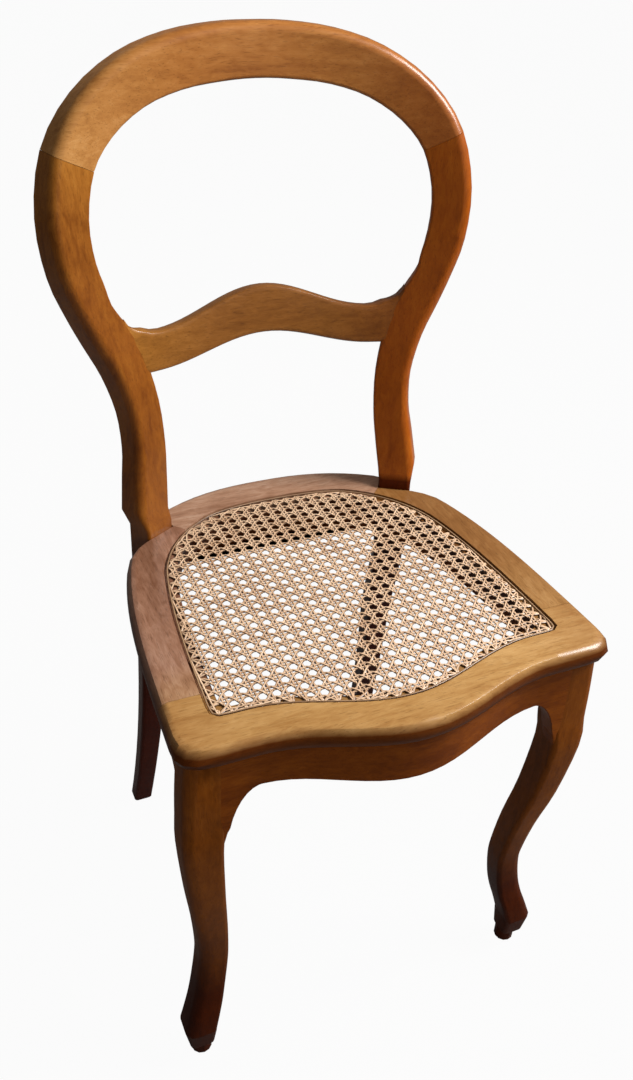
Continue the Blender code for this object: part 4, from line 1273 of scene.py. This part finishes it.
class Wood(Enum):
    """The pieces' stains, set paler where a piece is lit and redder where it is shaded, as painted light and
    shade.
    """

    # Painted light on the crest's left part (paler, less wax) and painted shade on its right part (darker).
    CREST = Stain("honey_wood", (0.24, 0.076, 0.014), (0.35, 0.128, 0.026), (0.44, 0.182, 0.046), (
        Zone(X, -0.06, -0.17, (1.12, 1.38, 1.85), 0.85),
        Zone(X, 0.08, 0.17, (0.84, 0.66, 0.50))))
    # The left stile's copy is yellower as painted light; paler towards the crest as painted light, darker
    # below the seat as painted shade.
    PAINTED_LIGHT_STILE = Stain("honey_wood", (0.13, 0.032, 0.002), (0.21, 0.061, 0.005), (0.27, 0.090, 0.009), (
        Zone(Z, 0.70, 0.80, (1.45, 1.80, 2.90), 0.7),
        Zone(Z, 0.47, 0.40, (0.28, 0.10, 0.05), 0.9)))
    # The right stile's copy is redder as painted shade, with a band of painted shade at its foot, and darker
    # below the seat as painted shade.
    RED_PAINTED_SHADE_STILE = Stain("honey_wood", (0.20, 0.040, 0.001), (0.29, 0.065, 0.002), (0.36, 0.094, 0.005), (
        Zone(Z, 0.474, 0.467, (0.22, 0.13, 0.13), 0.9),
        Zone(Z, 0.46, 0.40, (0.45, 0.24, 0.14), 0.9)))
    # Painted light at the cross rail's left end (paler) and painted shade at its right end (darker).
    RAIL = Stain("honey_wood", (0.13, 0.043, 0.007), (0.21, 0.076, 0.013), (0.275, 0.107, 0.022), (
        Zone(X, -0.05, -0.13, (1.25, 1.30, 1.00)),
        Zone(X, 0.06, 0.13, (0.84, 0.68, 0.50))))
    FRONT_SEAT = Stain("honey_wood", (0.28, 0.124, 0.032), (0.40, 0.212, 0.068), (0.50, 0.290, 0.110), (
        Zone(X, 0.11, 0.19, (0.82, 0.78, 0.80)),
        Zone(X, -0.14, -0.20, (0.90, 0.84, 0.80)),
        NOSE_PAINTED_SHADE))
    RIGHT_SEAT = Stain("honey_wood", (0.145, 0.055, 0.012), (0.215, 0.090, 0.024), (0.285, 0.135, 0.043), (
        Zone(Y, -0.03, -0.12, (1.48, 1.75, 2.10)),
        NOSE_PAINTED_SHADE))
    # The left seat rail's mauve tint is painted reflection; it is paler and more golden towards the front.
    LEFT_SEAT_PAINTED_SHEEN = Stain("honey_wood", (0.15, 0.056, 0.025), (0.265, 0.127, 0.074), (0.40, 0.225, 0.150), (
        Zone(Y, -0.08, -0.14, (1.28, 1.38, 1.10)),
        NOSE_PAINTED_SHADE))
    # The rear seat rail's mauve tint is painted reflection.
    REAR_SEAT_PAINTED_SHEEN = Stain("honey_wood", (0.20, 0.088, 0.044), (0.325, 0.175, 0.105), (0.44, 0.275, 0.185), (
        NOSE_PAINTED_SHADE,))
    # The legs' and aprons' stain is darker partly as painted shade; the legs grow darker towards the feet as
    # painted shade.
    LEG = Stain("red_brown_wood", (0.11, 0.027, 0.001), (0.175, 0.045, 0.003), (0.235, 0.067, 0.006), (
        Zone(Z, 0.20, 0.10, (0.26, 0.15, 0.10)),))
    APRON = Stain("red_brown_wood", (0.11, 0.022, 0.001), (0.18, 0.041, 0.002), (0.24, 0.062, 0.004))
    DOWEL = Stain("dowel_wood", (0.48, 0.32, 0.18), (0.60, 0.42, 0.25), (0.68, 0.50, 0.32))


@dataclass
class ChairWood:
    """The wooden pieces and their finishes.

    Attributes:
        dull: the stains of the pieces below the seat, which hardly anyone waxes.
        dull_roughness: how matt their wood is.
        dull_coat: the weight of their wax.
        dull_gloss: the level of their wood's own reflection.
        stride: how far the pattern moves from one piece to the next.
    """

    dull: tuple[Wood, ...] = (Wood.LEG, Wood.APRON)
    dull_roughness: float = 0.46
    dull_coat: float = 0.02
    dull_gloss: float = 0.07
    stride: Place = (0.37, 0.61, 0.23)

    def _finish(self, name: str, wood: Wood, grain: Grain, number: int) -> WaxedWood:
        """The finish of one piece.

        Args:
            name: the piece's name.
            wood: its stain.
            grain: the way its fibres run.
            number: the piece's number, which moves its pattern.

        Returns:
            The finish.
        """
        shift = tuple(part * number for part in self.stride)
        if wood in self.dull:
            return WaxedWood("wood_" + name, wood.value, grain, shift, roughness=self.dull_roughness,
                             coat=self.dull_coat, gloss=self.dull_gloss)
        return WaxedWood("wood_" + name, wood.value, grain, shift)

    @staticmethod
    def _surfaces(names: Iterable[str]) -> dict[str, BVHTree]:
        """Reads the surfaces of CAD nodes, to find what lies near them.

        Args:
            names: the nodes' names.

        Returns:
            A search tree for each node.
        """
        found = {}
        for name in names:
            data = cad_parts[name].data
            found[name] = BVHTree.FromPolygons([vertex.co for vertex in data.vertices],
                                               [tuple(face.vertices) for face in data.polygons])
        return found

    def build(self) -> None:
        """Builds the wooden pieces, and dresses the dowels that the joints hide."""
        rows = (
            ("crest_rail", WoodPiece, Wood.CREST, Grain.ACROSS),
            ("cross_rail", CrossRail, Wood.RAIL, Grain.ACROSS),
            ("rear_leg_left", Stile, Wood.PAINTED_LIGHT_STILE, Grain.UPRIGHT),
            ("rear_leg_right", Stile, Wood.RED_PAINTED_SHADE_STILE, Grain.UPRIGHT),
            ("seat_frame_front", WoodPiece, Wood.FRONT_SEAT, Grain.ACROSS),
            ("seat_frame_rear", WoodPiece, Wood.REAR_SEAT_PAINTED_SHEEN, Grain.ACROSS),
            ("seat_frame_left", WoodPiece, Wood.LEFT_SEAT_PAINTED_SHEEN, Grain.DEEP),
            ("seat_frame_right", WoodPiece, Wood.RIGHT_SEAT, Grain.DEEP),
            ("front_apron", FrontApron, Wood.APRON, Grain.ACROSS),
            ("rear_apron", Apron, Wood.APRON, Grain.ACROSS),
            ("side_apron_left", Apron, Wood.APRON, Grain.DEEP),
            ("side_apron_right", Apron, Wood.APRON, Grain.DEEP),
            ("front_leg_left", WoodPiece, Wood.LEG, Grain.UPRIGHT),
            ("front_leg_right", WoodPiece, Wood.LEG, Grain.UPRIGHT),
        )
        others = self._surfaces(name for name, _, _, _ in rows)
        for number, (name, kind, wood, grain) in enumerate(rows):
            kind(name, self._finish(name, wood, grain, number), others).build()
        for side in ("left", "right"):
            for place in ("inner", "outer"):
                name = f"crest_dowel_{side}_{place}"
                finish = self._finish(name, Wood.DOWEL, Grain.UPRIGHT, len(rows))
                dress(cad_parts[name], finish.material())
                LOG.info("%s: dressed", name)


@dataclass(frozen=True)
class Lamp:
    """One soft lamp.

    Attributes:
        name: the lamp's name.
        place: where it hangs.
        target: what it points at.
        size: its width and height.
        power: its power in watts.
        glossy: whether polished surfaces mirror it.
    """

    name: str
    place: Place
    target: Place
    size: tuple[float, float]
    power: float
    glossy: bool = True

    def hang(self) -> None:
        """Puts the lamp into the scene."""
        data = bpy.data.lights.new(self.name, "AREA")
        data.shape = "RECTANGLE"
        data.size, data.size_y = self.size
        data.energy = self.power
        lamp = linked(self.name, data)
        lamp.visible_glossy = self.glossy
        lamp.location = self.place
        lamp.rotation_euler = (Vector(self.target) - Vector(self.place)).to_track_quat("-Z", "Y").to_euler()


@dataclass
class Studio:
    """The floor, the lights and the camera.

    Attributes:
        camera_place: where the camera stands.
        heading: the way it looks, turned from straight at the chair's front, in degrees.
        tilt: how far it looks up, in degrees.
        roll: how far it leans, in degrees.
        focal: the focal length in pixels of the photograph.
        centre: the pixel that the lens points at.
        nearest: the shortest distance that the camera sees.
        floor_reach: how far the floor reaches on every side.
        floor_cells: how many faces the floor has along each side.
        floor: the floor's finish.
        world_colour: the colour of the light from all round.
        world_light: the strength of that light.
        lamps: the lamps.
    """

    camera_place: Place = (-0.34218, -0.73835, 1.03912)
    heading: float = 24.807
    tilt: float = -34.038
    roll: float = 2.932
    focal: float = 1053.6
    centre: tuple[float, float] = (326.18, 542.36)
    nearest: float = 0.01
    floor_reach: float = 12.0
    floor_cells: int = 4
    floor: PaleFloor = PaleFloor()
    world_colour: Colour = (1.0, 0.98, 0.95)
    world_light: float = 0.16
    lamps: tuple[Lamp, ...] = (
        Lamp("lamp_key", (1.60, -0.50, 2.05), (0.0, 0.05, 0.6), (0.9, 0.9), 95.0),
        Lamp("lamp_front", (0.5, -2.4, 1.2), (0.0, 0.0, 0.5), (1.6, 1.2), 15.0, glossy=False),
        Lamp("lamp_behind", (-0.2, 2.4, 1.9), (0.0, 0.0, 0.6), (2.4, 1.0), 18.0, glossy=False),
    )

    def _turned(self) -> Matrix:
        """Works out how the camera stood for the photograph.

        Returns:
            The camera's matrix in the world.
        """
        yaw, pitch, roll = (math.radians(turn) for turn in (self.heading, self.tilt, self.roll))
        ahead = Vector((math.sin(yaw) * math.cos(pitch), math.cos(yaw) * math.cos(pitch), math.sin(pitch)))
        level = Vector((math.cos(yaw), -math.sin(yaw), 0.0))
        above = level.cross(ahead)
        right = level * math.cos(roll) + above * math.sin(roll)
        up = above * math.cos(roll) - level * math.sin(roll)
        turned = Matrix((right, up, -ahead)).transposed().to_4x4()
        turned.translation = Vector(self.camera_place)
        return turned

    def _camera(self) -> None:
        """Places the camera as it stood for the photograph."""
        data = bpy.data.cameras.new("photo_camera")
        data.sensor_fit = "AUTO"
        data.sensor_width = SENSOR
        data.lens = self.focal / PHOTO_HEIGHT * SENSOR
        data.shift_x = -(self.centre[0] - PHOTO_WIDTH / 2.0) / PHOTO_HEIGHT
        data.shift_y = (self.centre[1] - PHOTO_HEIGHT / 2.0) / PHOTO_HEIGHT
        data.clip_start = self.nearest
        camera = linked("photo_camera", data)
        camera.matrix_world = self._turned()
        bpy.context.scene.camera = camera

    def _floor(self) -> None:
        """Lays a wide plain floor."""
        grid = bmesh.new()
        bmesh.ops.create_grid(grid, x_segments=self.floor_cells, y_segments=self.floor_cells,
                              size=self.floor_reach)
        floor = linked("studio_floor", finished(grid, "studio_floor"))
        dress(floor, self.floor.material())

    def _world(self) -> None:
        """Lights the chair from all round, with a world that is white to the camera."""
        world = bpy.data.worlds.new("studio_world")
        bpy.context.scene.world = world
        graph = Graph(world)
        seen = graph.value("ShaderNodeLightPath", {}, {}, "Is Camera Ray")
        lit = graph.node("ShaderNodeBackground", {}, {"Color": (*self.world_colour, OPAQUE),
                                                      "Strength": self.world_light})
        shown = graph.node("ShaderNodeBackground", {}, {"Color": WHITE, "Strength": FULL})
        mix = graph.node("ShaderNodeMixShader", {}, {0: seen, 1: lit.outputs[0], 2: shown.outputs[0]})
        graph.node("ShaderNodeOutputWorld", {}, {"Surface": mix.outputs[0]})

    def build(self) -> None:
        """Sets the scene up."""
        self._camera()
        self._floor()
        self._world()
        for lamp in self.lamps:
            lamp.hang()
        bpy.context.scene.view_settings.view_transform = "Standard"


def main() -> None:
    """Builds the chair's looks in order."""
    logging.basicConfig(level=logging.INFO, format="%(name)s %(message)s")
    Studio().build()
    ChairWood().build()
    CaneSeat().build()


if __name__ == "__main__":
    main()
